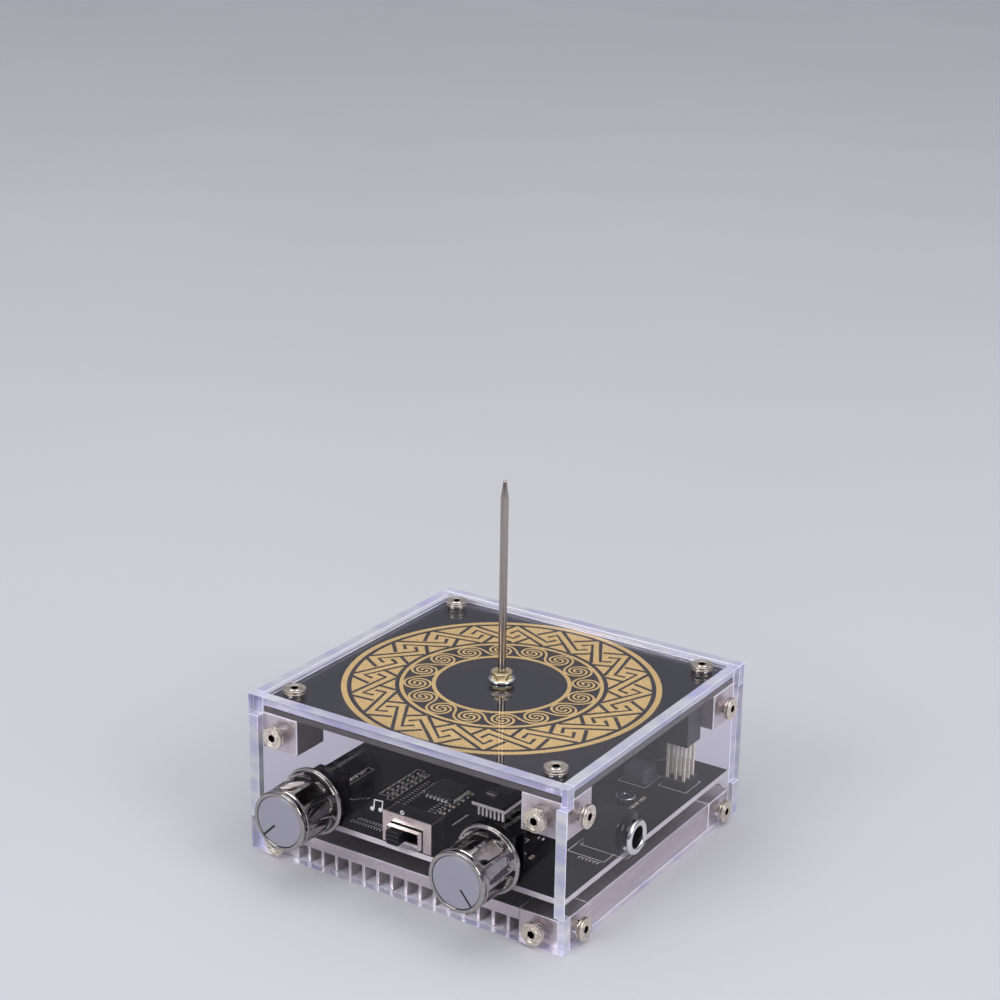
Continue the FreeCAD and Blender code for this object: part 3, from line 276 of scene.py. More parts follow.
def add_board_edge(tree, shader, face_colour, edge_colour):
    """Shows a sheet's sawn edges in another colour than its faces, told apart by their normals."""
    place = add_node(tree, "ShaderNodeTexCoord")
    parts = add_node(tree, "ShaderNodeSeparateXYZ", links={"Vector": place.outputs["Normal"]})
    upright = add_node(tree, "ShaderNodeMath", {"operation": "ABSOLUTE"}, links={0: parts.outputs["Z"]})
    is_face = add_node(tree, "ShaderNodeMath", {"operation": "GREATER_THAN"}, {1: 0.5},
                       {0: upright.outputs["Value"]})
    both = add_node(tree, "ShaderNodeMix", {"data_type": "RGBA"}, {6: linear(edge_colour)},
                    {0: is_face.outputs["Value"], 7: face_colour.outputs[2]})
    tree.links.new(both.outputs[2], shader.inputs["Base Color"])


# ---------------------------------------------------------------- materials

def make_clear_acrylic(name, bending):
    """Cast acrylic sheet with polished faces: clear, faintly lilac, with sharp reflections."""
    material, tree, shader = start_material(name, "#F8F6FD", 0.0, IOR=bending, Transmission_Weight=1.0)
    output = next(node for node in tree.nodes if node.type == "OUTPUT_MATERIAL")
    path = add_node(tree, "ShaderNodeLightPath")
    open_air = add_node(tree, "ShaderNodeBsdfTransparent")
    mix = add_node(tree, "ShaderNodeMixShader", links={0: path.outputs["Is Shadow Ray"],
                                                      1: shader.outputs["BSDF"],
                                                      2: open_air.outputs["BSDF"]})
    tree.links.new(mix.outputs["Shader"], output.inputs["Surface"])
    return material


def make_acrylic_edge_painted_glow():
    """Laser-cut acrylic edge with a painted glow: its lilac and white colour stands in for light that runs
    in the sheet and leaves here.
    """
    material, tree, shader = start_material("cast acrylic, laser-cut edge, painted glow", "#E6E4FF", 0.18,
                                            Transmission_Weight=0.35, IOR=1.49)
    add_grain(tree, shader, 6.0, ("#D0CDF8", "#FFFFFF"), relief=0.03, stretch=(0.6, 0.6, 1.6), detail=4.0)
    return material


def make_acrylic_rim_painted_highlight():
    """The trimmed corner lines of the acrylic sheets: white with a faint emission, a painted highlight and
    glow in thin white lines.
    """
    material, tree, shader = start_material("cast acrylic, corner with painted highlight", "#FFFFFF", 0.12, IOR=1.49,
                                            Emission_Color=linear("#E9E8FF"), Emission_Strength=0.3)
    add_grain(tree, shader, 5.0, ("#F2F1FF", "#FFFFFF"))
    return material


def make_board(name, face_colours, edge_colour, roughness, specular):
    """Glass-fibre board under solder mask: a deep black, a little cloudy, and pale sawn edges."""
    material, tree, shader = start_material(name, face_colours[0], roughness, Specular_IOR_Level=specular)
    face = add_grain(tree, shader, 1.1, face_colours)
    add_board_edge(tree, shader, face, edge_colour)
    return material


def make_gold_print():
    """Gold-plated print over etched copper: pale warm gold with a sandy grain that doesn't mirror."""
    material, tree, shader = start_material("gold-plated print, grained", "#DDBD84", 0.45, Metallic=0.2)
    add_grain(tree, shader, 0.5, ("#C79B4C", "#F4DA90"), rough=(0.4, 0.6), relief=0.02, detail=2.0)
    return material


def make_ink():
    """Screen-printed ink: matt white, a little uneven."""
    material, tree, shader = start_material("white screen-print ink", "#E8E8E6", 0.6)
    add_grain(tree, shader, 0.4, ("#D2D2D0", "#F4F4F2"))
    return material


def make_metal(name, colours, rough, spacing, stretch=(1, 1, 1), relief=0.004):
    """A metal surface whose colour and gloss wander with the marks that its making left."""
    material, tree, shader = start_material(name, colours[0], rough[0], Metallic=1.0)
    add_grain(tree, shader, spacing, colours, rough, relief, stretch)
    return material


def make_plastic(name, colours, rough, spacing, relief=0.01):
    """A moulded surface with a faint texture from its mould."""
    material, tree, shader = start_material(name, colours[0], rough[0])
    add_grain(tree, shader, spacing, colours, rough, relief)
    return material


CLEAR = make_clear_acrylic("cast acrylic, polished", 1.49)
# The walls mirror less of the room, as in a dark studio, so that the inside shows
CLEAR_WALL = make_clear_acrylic("cast acrylic, polished, low glare", 1.22)
EDGE = make_acrylic_edge_painted_glow()
RIM_PAINTED_HIGHLIGHT = make_acrylic_rim_painted_highlight()
TOP_BOARD = make_board("black solder mask on glass fibre, gloss",
                       ("#08080A", "#0F0F12"), "#55534F", 0.1, 0.4)
MAIN_BOARD = make_board("black solder mask on glass fibre, satin",
                        ("#050506", "#0B0B0D"), "#CBC9C7", 0.4, 0.1)
GOLD = make_gold_print()
INK = make_ink()
# Copper tracks under dark solder mask: brown ridges with a soft gloss
COPPER = make_plastic("copper tracks under dark solder mask", ("#2B1A10", "#4A2E1D"), (0.3, 0.42), 0.6, 0.0)
# Milled and blasted aluminium: pale warm grey that spreads the light
ALUMINIUM = make_metal("aluminium, milled and blasted",
                       ("#D8D1CD", "#ECE5E1"), (0.36, 0.46), 0.4, relief=0.002)
# Extruded aluminium: draw marks run along the fins
HEATSINK = make_metal("aluminium, extruded", ("#DCD5D0", "#F0E9E4"), (0.32, 0.42), 0.5, (1, 0.04, 1), 0.0)
# Broken edges of the aluminium pieces: near-white lines, a painted highlight
PAINTED_EDGE_HIGHLIGHT = make_plastic("aluminium edge, painted highlight", ("#ECEAF0", "#FCFBFE"), (0.3, 0.4), 0.5, 0.0)
# Nickel-plated turned steel: warm grey with bright rims
SCREW_STEEL = make_metal("nickel-plated steel, turned", ("#D6CABA", "#F6EEE2"), (0.24, 0.36), 0.7)
# Black oxide steel: the board screws' finish, and painted shade in the case screws' key holes
OXIDE_AND_PAINTED_SHADE = make_metal("steel, black oxide, painted shade in key holes", ("#17161A", "#2A292D"), (0.45, 0.6), 0.5)
# Drawn steel rod: long fine lines, dark at its sides
NEEDLE_STEEL = make_metal("drawn steel rod", ("#948C85", "#B6AEA7"), (0.16, 0.28), 1.2, (1, 1, 0.03))
# Bright nickel: almost a mirror
SILVER = make_metal("bright nickel plate", ("#E2E0E0", "#F8F7F6"), (0.1, 0.2), 0.8)
# Gold-plated brass: warm and bright
BRASS = make_metal("gold-plated brass", ("#E0CB9A", "#FFF2D0"), (0.26, 0.38), 0.8)
# Polished chrome, darkened to stand in for the reflection of a dim studio (painted dark reflection): a
# mirror with a trace of polishing marks
CHROME_PAINTED_DARK_REFLECTION = make_metal("polished chrome plate, painted dark reflection", ("#9F9C99", "#B0ADA9"), (0.03, 0.06), 1.5, relief=0.0)
# Satin anodised aluminium: an even lilac grey
SATIN_GREY = make_metal("aluminium, satin anodised", ("#ABA9B5", "#BAB8C3"), (0.36, 0.46), 0.25)
# Tinned steel and solder: soft silver
TIN = make_metal("tinned steel", ("#C9C4C1", "#D9D5D2"), (0.18, 0.26), 0.9, relief=0.0)
# Stamped frame of the switch: nickel over brass, silver with a touch of rose
FRAME_NICKEL = make_metal("nickel-plated brass, stamped",
                          ("#DCCBBD", "#E6D9CD"), (0.3, 0.34), 0.9, relief=0.0)
# Dull tin on the small pins: it stays pale in the shade
PIN_TIN = make_plastic("matt tin plate on pins", ("#D6D4CF", "#EEEDE9"), (0.45, 0.55), 0.5, 0.0)
# A thin flash of gold on the header pins: pale cream metal
PIN_GOLD = make_plastic("gold flash on header pins", ("#DED4BE", "#F4EEDF"), (0.35, 0.45), 0.8, 0.0)
# Glass-filled nylon and other moulded black plastics
BLACK_PLASTIC = make_plastic("moulded black nylon", ("#0D0D0F", "#18181B"), (0.3, 0.42), 0.5)
# Epoxy chip bodies: matt charcoal
CHIP_EPOXY = make_plastic("moulded chip epoxy", ("#17171A", "#232327"), (0.42, 0.55), 0.35)
# Pressed iron powder: rough dark grey
FERRITE = make_plastic("pressed iron powder", ("#323236", "#48484D"), (0.5, 0.65), 0.5, 0.03)
# Silicone rubber: matt grey
SILICONE = make_plastic("silicone rubber pad", ("#85878A", "#999B9E"), (0.65, 0.75), 0.6)
# Fired ceramic of the small chip capacitors: tan
CERAMIC = make_plastic("fired ceramic", ("#8A6D4F", "#A68765"), (0.4, 0.5), 0.4)


# ---------------------------------------------------------------- modelling helpers

def deselect():
    """Leaves edit mode and selects nothing."""
    if bpy.context.object and bpy.context.object.mode != "OBJECT":
        bpy.ops.object.mode_set(mode="OBJECT")
    bpy.ops.object.select_all(action="DESELECT")


def pick(*pieces):
    """Selects only these pieces, the first one active."""
    deselect()
    for piece in pieces:
        piece.select_set(True)
    bpy.context.view_layer.objects.active = pieces[0]


def edit(piece, select=True):
    """Opens a piece in edit mode, with all of it selected or none."""
    pick(piece)
    bpy.ops.object.mode_set(mode="EDIT")
    bpy.ops.mesh.select_all(action="SELECT" if select else "DESELECT")


def close_edit():
    """Goes back to object mode."""
    bpy.ops.object.mode_set(mode="OBJECT")


def select_edges(piece, wanted):
    """Opens a piece in edit mode with the edges selected whose two ends pass a test."""
    edit(piece, False)
    bpy.ops.mesh.select_mode(type="EDGE")
    close_edit()
    for edge in piece.data.edges:
        start, end = (piece.data.vertices[number].co / MM for number in edge.vertices)
        edge.select = wanted(start, end)
    bpy.ops.object.mode_set(mode="EDIT")


def at(spot, facing="up"):
    """The matrix that turns a piece from +Z to a direction and moves it to a spot in millimetres."""
    turns = {"up": ("X", 0), "front": ("X", 90), "back": ("X", -90), "right": ("Y", 90), "left": ("Y", -90)}
    axis, degrees = turns[facing]
    return Matrix.Translation(Vector(spot) * MM) @ Matrix.Rotation(math.radians(degrees), 4, axis)


def spun(degrees):
    """The matrix that turns a piece about its upright axis."""
    return Matrix.Rotation(math.radians(degrees), 4, "Z")


def joined(name, pieces):
    """Several pieces as one, with its place in its mesh."""
    pick(*pieces)
    if len(pieces) > 1:
        bpy.ops.object.join()
    piece = bpy.context.view_layer.objects.active
    bpy.ops.object.transform_apply(location=True, rotation=True, scale=True)
    piece.name = name
    piece.data.name = name
    return piece


def copy_at(piece, matrix):
    """A copy of a piece with its own mesh, moved by a matrix."""
    twin = piece.copy()
    twin.data = piece.data.copy()
    twin.data.transform(matrix)
    bpy.context.scene.collection.objects.link(twin)
    return twin


def copies(name, model, matrices):
    """The model copied to each place, as one piece; the model itself goes."""
    twins = [copy_at(model, matrix) for matrix in matrices]
    bpy.data.objects.remove(model)
    return joined(name, twins)


def apply(piece, kind, **settings):
    """Adds a modifier with its settings and applies it."""
    pick(piece)
    modifier = piece.modifiers.new(kind.lower(), kind)
    for name, value in settings.items():
        setattr(modifier, name, value)
    bpy.ops.object.modifier_apply(modifier=modifier.name)
    return piece


def bevel(piece, width, segments=2, angle=40, material_number=-1):
    """Trims the edges that are sharper than an angle, the new faces in their own finish if asked."""
    return apply(piece, "BEVEL", width=width * MM, segments=segments, limit_method="ANGLE",
                 angle_limit=math.radians(angle), material=material_number)


def cut(piece, cutter):
    """Cuts one piece by another, which then goes."""
    apply(piece, "BOOLEAN", operation="DIFFERENCE", object=cutter, solver="EXACT")
    bpy.data.objects.remove(cutter)
    return piece


def smooth(piece, angle=30):
    """Shades a piece smooth, apart from the edges that are sharper than an angle."""
    pick(piece)
    bpy.ops.object.shade_smooth_by_angle(angle=math.radians(angle))
    return piece


def turned(name, profile, steps=64, closed=False):
    """A turned piece: a circle is extruded along (radius, height) pairs, then closed by its ends."""
    deselect()
    radius, height = profile[0]
    bpy.ops.mesh.primitive_circle_add(vertices=steps, radius=radius * MM, location=(0, 0, height * MM))
    piece = bpy.context.active_object
    piece.name = name
    bpy.ops.object.transform_apply(location=True)
    edit(piece)
    for (last_radius, last_height), (radius, height) in zip(profile, profile[1:]):
        rise = (0, 0, (height - last_height) * MM)
        bpy.ops.mesh.extrude_edges_move(TRANSFORM_OT_translate={"value": rise})
        grow = radius / last_radius
        bpy.ops.transform.resize(value=(grow, grow, 1), center_override=(0, 0, height * MM))
    if closed:
        bpy.ops.mesh.select_all(action="DESELECT")
        bpy.ops.mesh.select_non_manifold()
        bpy.ops.mesh.bridge_edge_loops()
    else:
        bpy.ops.mesh.select_all(action="SELECT")
        bpy.ops.mesh.fill_holes(sides=0)
    bpy.ops.mesh.select_all(action="SELECT")
    bpy.ops.mesh.normals_make_consistent(inside=False)
    close_edit()
    return piece


def block(name, low, high, trim=0.0, segments=2):
    """A block between two corners, with its edges trimmed."""
    deselect()
    low, high = Vector(low) * MM, Vector(high) * MM
    bpy.ops.mesh.primitive_cube_add(size=1, location=(low + high) / 2)
    piece = bpy.context.active_object
    piece.scale = high - low
    bpy.ops.object.transform_apply(location=True, rotation=True, scale=True)
    piece.name = name
    if trim:
        bevel(piece, trim, segments)
    return piece


def drawn(name, runs, width, low, high, rounded=False):
    """Flat lines of one width, drawn along runs of points and turned into a thin mesh."""
    curve = bpy.data.curves.new(name, "CURVE")
    curve.dimensions = "3D"
    curve.bevel_depth = width / 2 * MM
    curve.bevel_resolution = 1
    curve.resolution_u = 4
    curve.use_fill_caps = True
    for run in runs:
        spline = curve.splines.new("BEZIER" if rounded else "POLY")
        knots = spline.bezier_points if rounded else spline.points
        knots.add(len(run) - 1)
        for knot, point in zip(knots, run):
            spot = Vector((point[0], point[1], 0)) * MM
            if rounded:
                knot.co = spot
                knot.handle_left_type = knot.handle_right_type = "AUTO"
            else:
                knot.co = (*spot, 1)
    piece = bpy.data.objects.new(name, curve)
    bpy.context.scene.collection.objects.link(piece)
    pick(piece)
    bpy.ops.object.convert(target="MESH")
    piece = bpy.context.active_object
    edit(piece)
    flatten = (high - low) / width
    bpy.ops.transform.resize(value=(1, 1, flatten), center_override=(0, 0, 0))
    bpy.ops.transform.translate(value=(0, 0, (low + high) / 2 * MM))
    close_edit()
    return piece


def dress(piece, material, body="case", replaces=()):
    """Gives a finished piece its material and body, and the solids that it stands for."""
    if material:
        piece.data.materials.clear()
        piece.data.materials.append(material)
    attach(piece, body)
    if replaces:
        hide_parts(*replaces)
    return piece


def merged_copy(node):
    """A copy of a solid whose loose triangles are joined into flat faces."""
    twin = copy_at(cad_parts[node], Matrix())
    twin.name = f"{node}_dressed"
    edit(twin)
    bpy.ops.mesh.remove_doubles(threshold=0.002 * MM)
    bpy.ops.mesh.dissolve_limited(angle_limit=math.radians(1))
    close_edit()
    return twin


def softened(node, trim, material, edges=None):
    """A solid with its edges trimmed as on the real piece, and those edges in their own material, a painted
    highlight on the aluminium pieces.
    """
    piece = merged_copy(node)
    piece.data.materials.clear()
    for finish in (material, edges or material):
        piece.data.materials.append(finish)
    smooth(bevel(piece, trim, material_number=1), 25)
    return dress(piece, None, replaces=[node])


# ---------------------------------------------------------------- solids that keep their shape

def finish_nodes():
    """Gives each solid that is shown as it is its real material."""
    finishes = {
        TOP_BOARD: ["top_board"],
        MAIN_BOARD: ["main_board"],
        COPPER: ["secondary_winding", "primary_winding"],
        SCREW_STEEL: ["transistor_screws", "needle_nut", "standoffs"],
        TIN: ["pot_bushings", "pot_legs", "left_pot_shaft", "right_pot_shaft", "transistor_tabs",
              "transistor_leads"],
        PIN_TIN: ["audio_module_pins", "chip_legs"],
        PIN_GOLD: ["header_pins"],
        SILVER: ["power_socket_pin"],
        CHIP_EPOXY: ["transistor_cases"],
        SILICONE: ["thermal_pads"],
    }
    for material, nodes in finishes.items():
        for node in nodes:
            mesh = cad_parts[node].data
            mesh.materials.clear()
            mesh.materials.append(material)


def make_blocks_and_floor():
    """The corner blocks and the finned floor, with broken edges in a painted highlight."""
    for level in ("upper", "lower"):
        for end in ("front", "back"):
            for side in ("left", "right"):
                softened(f"{level}_block_{end}_{side}", BLOCK_TRIM, ALUMINIUM,
                         PAINTED_EDGE_HIGHLIGHT)
    softened("heatsink", HEATSINK_TRIM, HEATSINK, PAINTED_EDGE_HIGHLIGHT)


# ---------------------------------------------------------------- clear case

def make_clear_sheets():
    """The five acrylic sheets: clear faces, cut edges with a painted glow, and corner lines with a painted
    highlight.
    """
    across = {"front_wall": 1, "back_wall": 1, "left_wall": 0, "right_wall": 0, "cover_plate": 2}
    for node, axis in across.items():
        piece = bevel(merged_copy(node), SHEET_TRIM, 1)
        low, high = reach(node)
        edit(piece)
        bpy.ops.transform.shrink_fatten(value=-HAIRLINE * MM)
        close_edit()
        piece.data.materials.clear()
        for material in (CLEAR if axis == 2 else CLEAR_WALL, EDGE, RIM_PAINTED_HIGHLIGHT):
            piece.data.materials.append(material)
        for face in piece.data.polygons:
            straight = max(abs(part) for part in face.normal)
            spot = face.center / MM
            inset = min(min(spot[way] - low[way], high[way] - spot[way]) for way in range(3) if way != axis)
            # Faces near the outline get the painted glow where straight and the painted highlight where
            # trimmed; all others stay clear
            if abs(face.normal[axis]) > IN_LINE or inset > PAINTED_GLOW_REACH:
                face.material_index = 0
            else:
                face.material_index = 1 if straight > IN_LINE else 2
        dress(piece, None, replaces=[node])


# ---------------------------------------------------------------- gold ornament

def polar(radius, degrees):
    """A spot on a circle round the needle."""
    angle = math.radians(degrees)
    return Vector((radius * math.cos(angle), radius * math.sin(angle), 0))


def key_point(across, up):
    """A point of the key band: across in motifs, and up from 0 at its inner edge to 1 at its outer."""
    inner, outer = KEY_BAND
    return polar(inner + (outer - inner) * up, across * 360 / KEY_COUNT)


def make_key_lines(low, high):
    """The black lines that cut the gold band into an interlocked key: one motif, copied round."""
    runs = [[key_point(*spot) for spot in run] for run in KEY_RUNS]
    motif = drawn("key_motif", runs, KEY_LINE, low, high)
    turns = [spun(KEY_START + 360 * number / KEY_COUNT) for number in range(KEY_COUNT)]
    return copies("key_lines", motif, turns)


def spiral_arm(centre, start):
    """One arm of a double spiral, from its rim to its heart."""
    points = []
    for step in range(SPIRAL_STEPS + 1):
        share = step / SPIRAL_STEPS
        radius = SPIRAL_RADIUS + (SPIRAL_HEART - SPIRAL_RADIUS) * share
        points.append(centre + polar(radius, start + SPIRAL_TURN * share))
    return points


def make_spirals(low, high):
    """Running spirals: each line winds out of one spiral and into the next."""
    spacing = 360 / SPIRAL_COUNT
    leaving = spiral_arm(polar(SPIRAL_MIDDLE, 0), 90)
    arriving = spiral_arm(polar(SPIRAL_MIDDLE, spacing), spacing - 90)
    line = leaving[:0:-1] + [polar(SPIRAL_MIDDLE, spacing / 2)] + arriving[1:]
    model = drawn("spiral_line", [line], SPIRAL_LINE, low, high, rounded=True)
    turns = [spun(SPIRAL_START + spacing * number) for number in range(SPIRAL_COUNT)]
    return copies("running_spirals", model, turns)


def make_ornament():
    """The gold rings, the key band and the running spirals, printed on the top board."""
    low = GOLD_UNDER + PRINT_LIFT
    high = COVER_UNDER - PRINT_HEADROOM
    rings = [turned(f"gold_ring_{number}", [(inner, low), (outer, low), (outer, high), (inner, high)],
                    240, closed=True) for number, (inner, outer) in enumerate((*RING_BANDS, KEY_BAND))]
    dress(joined("gold_rings", rings), GOLD, replaces=["gold_pattern"])
    dress(make_spirals(low, high), GOLD)
    dress(make_key_lines(high - KEY_LINE_RISE, high + KEY_LINE_RISE), TOP_BOARD)


# ---------------------------------------------------------------- case screws

def make_screw_model(length):
    """A case screw on its washer: shank, neck, and a head with a raised ring round its key hole."""
    shank = [(radius, height - length) for radius, height in SHANK_TIP] + [(SHANK_RADIUS, -0.1)]
    screw = turned("screw_model", shank + SCREW_HEAD, 48)
    hole_top = SCREW_HEAD[-1][1] + 0.2
    hole_wall = [(KEY_HOLE_RADIUS, hole_top - KEY_HOLE_DEPTH), (KEY_HOLE_RADIUS, hole_top)]
    hole = turned("key_hole", hole_wall, 6)
    for piece in (screw, hole):
        piece.data.materials.append(SCREW_STEEL)
        piece.data.materials.append(OXIDE_AND_PAINTED_SHADE)
    # The key hole's faces take the dark steel: painted shade in the hole
    for face in hole.data.polygons:
        face.material_index = 1
    cut(screw, hole)
    return smooth(screw, 30)


def screw_places():
    """Where the case screws stand and which way they face, from the blocks that they enter."""
    top = []
    sides = {"upper": [], "lower": []}
    for level, places in sides.items():
        for end, wall_y in (("front", FRONT_FACE), ("back", BACK_FACE)):
            for side, wall_x in (("left", LEFT_FACE), ("right", RIGHT_FACE)):
                low, high = reach(f"{level}_block_{end}_{side}")
                middle = (low + high) / 2
                places.append(((middle.x, wall_y, middle.z), end))
                places.append(((wall_x, middle.y, middle.z), side))
                if level == "upper":
                    top.append(((middle.x, middle.y, COVER_TOP), "up"))
    return top, sides["upper"], sides["lower"]


def make_case_screws():
    """The twenty case screws and their washers."""
    top, upper, lower = screw_places()
    for name, places in (("top_washers", top), ("side_washers", upper + lower)):
        model = smooth(turned("washer_model", WASHER, 48, closed=True), 30)
        piece = copies(f"{name}_dressed", model, [at(*place) for place in places])
        dress(piece, SCREW_STEEL, replaces=[name])
    lift = Matrix.Translation((0, 0, WASHER[4][1] * MM))
    sets = (("top_screws", top, TOP_SCREW_LENGTH), ("upper_side_screws", upper, SIDE_SCREW_LENGTH),
            ("lower_side_screws", lower, SIDE_SCREW_LENGTH))
    for name, places, length in sets:
        stands = [at(*place) @ lift for place in places]
        piece = copies(f"{name}_dressed", make_screw_model(length), stands)
        dress(piece, None, replaces=[name])


# ---------------------------------------------------------------- needle

def make_needle():
    """The discharge needle, its polished washer and its knurled collar."""
    needle = smooth(turned("needle_rod", NEEDLE, 48), 30)
    dress(needle, NEEDLE_STEEL, replaces=["needle"])
    washer = smooth(turned("needle_washer_polished", NEEDLE_WASHER, 72, closed=True), 50)
    dress(washer, SILVER, replaces=["needle_washer"])
    collar = turned("needle_collar_knurled", COLLAR, 72, closed=True)
    low, high = KNURL_HEIGHTS

    def is_ridge(start, end):
        angle = math.degrees(math.atan2(start.y, start.x))
        upright = start.xy.length > KNURL_INSIDE and abs(start.z - end.z) > 0.1
        inside = low < min(start.z, end.z) and max(start.z, end.z) < high
        return upright and inside and round(angle / KNURL_STEP) % 2

    select_edges(collar, is_ridge)
    bpy.ops.transform.resize(value=(KNURL_DEPTH, KNURL_DEPTH, 1), center_override=(0, 0, 0))
    close_edit()
    dress(smooth(collar, 25), BRASS, replaces=["needle_collar"])


# ---------------------------------------------------------------- knobs

def make_panel_cutter():
    """The tool that mills one flat panel into a knob: a block with rounded ends."""
    start, end = PANEL_ENDS
    half = PANEL_WIDTH / 2
    cutter = block("panel_cutter", (PANEL_RADIUS, -half, start), (PANEL_OUTSIDE, half, end))
    select_edges(cutter, lambda start, end: abs(start.x - end.x) > 0.5)
    bpy.ops.mesh.bevel(offset=PANEL_CORNER * MM, segments=6, affect="EDGES")
    close_edit()
    return cutter


def make_knob(side):
    """A chrome knob with flat panels, and its satin cap with the pointer."""
    low, high = reach(f"{side}_knob")
    spot = ((low.x + high.x) / 2, high.y, (low.z + high.z) / 2)
    knob = turned(f"{side}_knob_chrome", KNOB, 120, closed=True)
    turns = [spun(PANEL_START + 360 * number / PANEL_COUNT) for number in range(PANEL_COUNT)]
    cut(knob, copies("panels", make_panel_cutter(), turns))
    bevel(knob, KNOB_TRIM, 2, 25)
    knob.data.transform(at(spot, "front"))
    # The chrome's darkened colour is a painted dark reflection
    dress(smooth(knob, 25), CHROME_PAINTED_DARK_REFLECTION, f"{side}_dial", [f"{side}_knob"])
    cap = turned(f"{side}_knob_cap_satin", KNOB_CAP, 96)
    start, end = POINTER_ENDS
    half = POINTER_WIDTH / 2
    face = KNOB_CAP[-1][1]
    groove = block("pointer_groove", (start, -half, face - POINTER_DEPTH), (end + 1, half, face + 0.5))
    groove.data.transform(spun(POINTER_ANGLES[side]))
    cut(cap, groove)
    cap.data.transform(at(spot, "front"))
    dress(smooth(cap, 30), SATIN_GREY, f"{side}_dial", [f"{side}_knob_cap"])
    pointer = block(f"{side}_pointer", (start, POINTER_GAP - half, face - POINTER_DEPTH + POINTER_GAP),
                    (end, half - POINTER_GAP, face - POINTER_SUNK), 0.03)
    pointer.data.transform(at(spot, "front") @ spun(POINTER_ANGLES[side]))
    dress(pointer, BLACK_PLASTIC, f"{side}_dial")


def make_potentiometers():
    """The potentiometers behind the front wall: black bodies in tinned cases, with nuts."""
    softened("pot_bodies", 0.3, BLACK_PLASTIC)
    softened("pot_nuts", 0.15, TIN)
    low, high = reach("pot_bodies")
    middle_z = (low.z + high.z) / 2
    knob_low, knob_high = reach("left_knob")
    knob_x = abs(knob_low.x + knob_high.x) / 2
    half = high.x - knob_x
    covers = []
    for sign in (-1, 1):
        x = sign * knob_x
        covers.append(block("pot_shell", (x - half, low.y + SHELL_FRONT_GAP, low.z - SHELL_SKIN),
                            (x + half, high.y - SHELL_BACK_GAP, high.z), 0.4))
        for lug in (-1, 1):
            lug_x = x + lug * half * LUG_SPREAD
            covers.append(block("pot_lug",
                                (lug_x - LUG_HALF_WIDTH, low.y + LUG_REACH[0], high.z - LUG_DROP[0]),
                                (lug_x + LUG_HALF_WIDTH, low.y + LUG_REACH[1], high.z - LUG_DROP[1]),
                                0.1))
        dome = smooth(turned("pot_dome", POT_DOME, 32))
        dome.data.transform(at((x, high.y - SHELL_BACK_GAP, middle_z), "back"))
        covers.append(dome)
    dress(joined("pot_cases", covers), TIN)


# ---------------------------------------------------------------- slide switch

def make_switch():
    """The slide switch: folded metal frame round its window, black body and ridged lever."""
    frame_plate = merged_copy("switch_plate")
    low, high = reach("switch_plate")
    lever_low = reach("switch_lever")[0]
    left_gap, right_gap = SILL_OPENING
    sill = block("sill", (lever_low.x - left_gap, low.y - 1, low.z - 1),
                 (high.x - right_gap, high.y + 1, lever_low.z + SILL_RISE))
    cut(frame_plate, sill)
    smooth(bevel(frame_plate, STAMPED_TRIM), 25)
    dress(frame_plate, FRAME_NICKEL, replaces=["switch_plate"])
    softened("switch_body", 0.2, BLACK_PLASTIC)
    low, high = reach("switch_body")
    front = low.y + 0.05
    half = SWITCH_METAL / 2
    folds = [block("switch_fold", (x - half, front, high.z - 0.2), (x + half, high.y, high.z + 0.1), 0.04)
             for x in (low.x, high.x)]
    folds += [block("switch_fold", (x - half, front, low.z + 1), (x + half, low.y + 0.4, high.z), 0.04)
              for x in (low.x, high.x)]
    feet = [block("switch_foot", (x - FOOT_HALF_WIDTH, high.y + HAIRLINE, BOARD_TOP),
                  (x + FOOT_HALF_WIDTH, high.y + SWITCH_METAL, low.z + FOOT_HEIGHT), 0.08)
            for x in (low.x + FOOT_INSET, high.x - FOOT_INSET)]
    dress(joined("switch_folds", [*folds, *feet]), FRAME_NICKEL)
    lever = bevel(merged_copy("switch_lever"), STAMPED_TRIM)
    low, high = reach("switch_lever")
    ridge = (high.z - low.z) / RIDGE_COUNT
    for number in range(1, RIDGE_COUNT - 1, 2):
        groove = block("lever_groove", (low.x - 1, low.y - 1, low.z + ridge * (number + 0.2)),
                       (high.x + 1, low.y + GROOVE_DEPTH, low.z + ridge * (number + 0.9)))
        cut(lever, groove)
    dress(smooth(lever, 25), BLACK_PLASTIC, "switch_slider", ["switch_lever"])


# ---------------------------------------------------------------- main board

def outline(low_x, low_y, high_x, high_y):
    """A printed frame between two corners."""
    return [(low_x, low_y), (high_x, low_y), (high_x, high_y), (low_x, high_y),
            (low_x, low_y - INK_LINE / 2)]


def around(node, gap):
    """A printed outline at a gap round a solid that stands on the main board."""
    low, high = reach(node)
    return outline(low.x - gap, low.y - gap, high.x + gap, high.y + gap)


def make_print():
    """White print on the main board: outlines of the parts, and rows of marks beside the chips."""
    runs = [around(node, PRINT_MARGIN) for node in ("header_base", "inductor", "power_socket_body")]
    runs += [outline(*corners) for corners in PRINTED_FRAMES]
    for x, start, count in PRINTED_DASHES:
        heights = [start + number * DASH_STEP for number in range(count)]
        runs += [[(x, y), (x + DASH_LENGTH, y)] for y in heights]
    for start_x, start_y, step_x, step_y, count in PRINTED_TICKS:
        for number in range(count):
            x, y = start_x + step_x * number, start_y + step_y * number
            runs.append([(x + across, y + along) for across, along in TICK])
    runs.append(PRINTED_TRIANGLE)
    dress(drawn("board_print", runs, INK_LINE, BOARD_TOP, BOARD_TOP + INK_HEIGHT), INK)


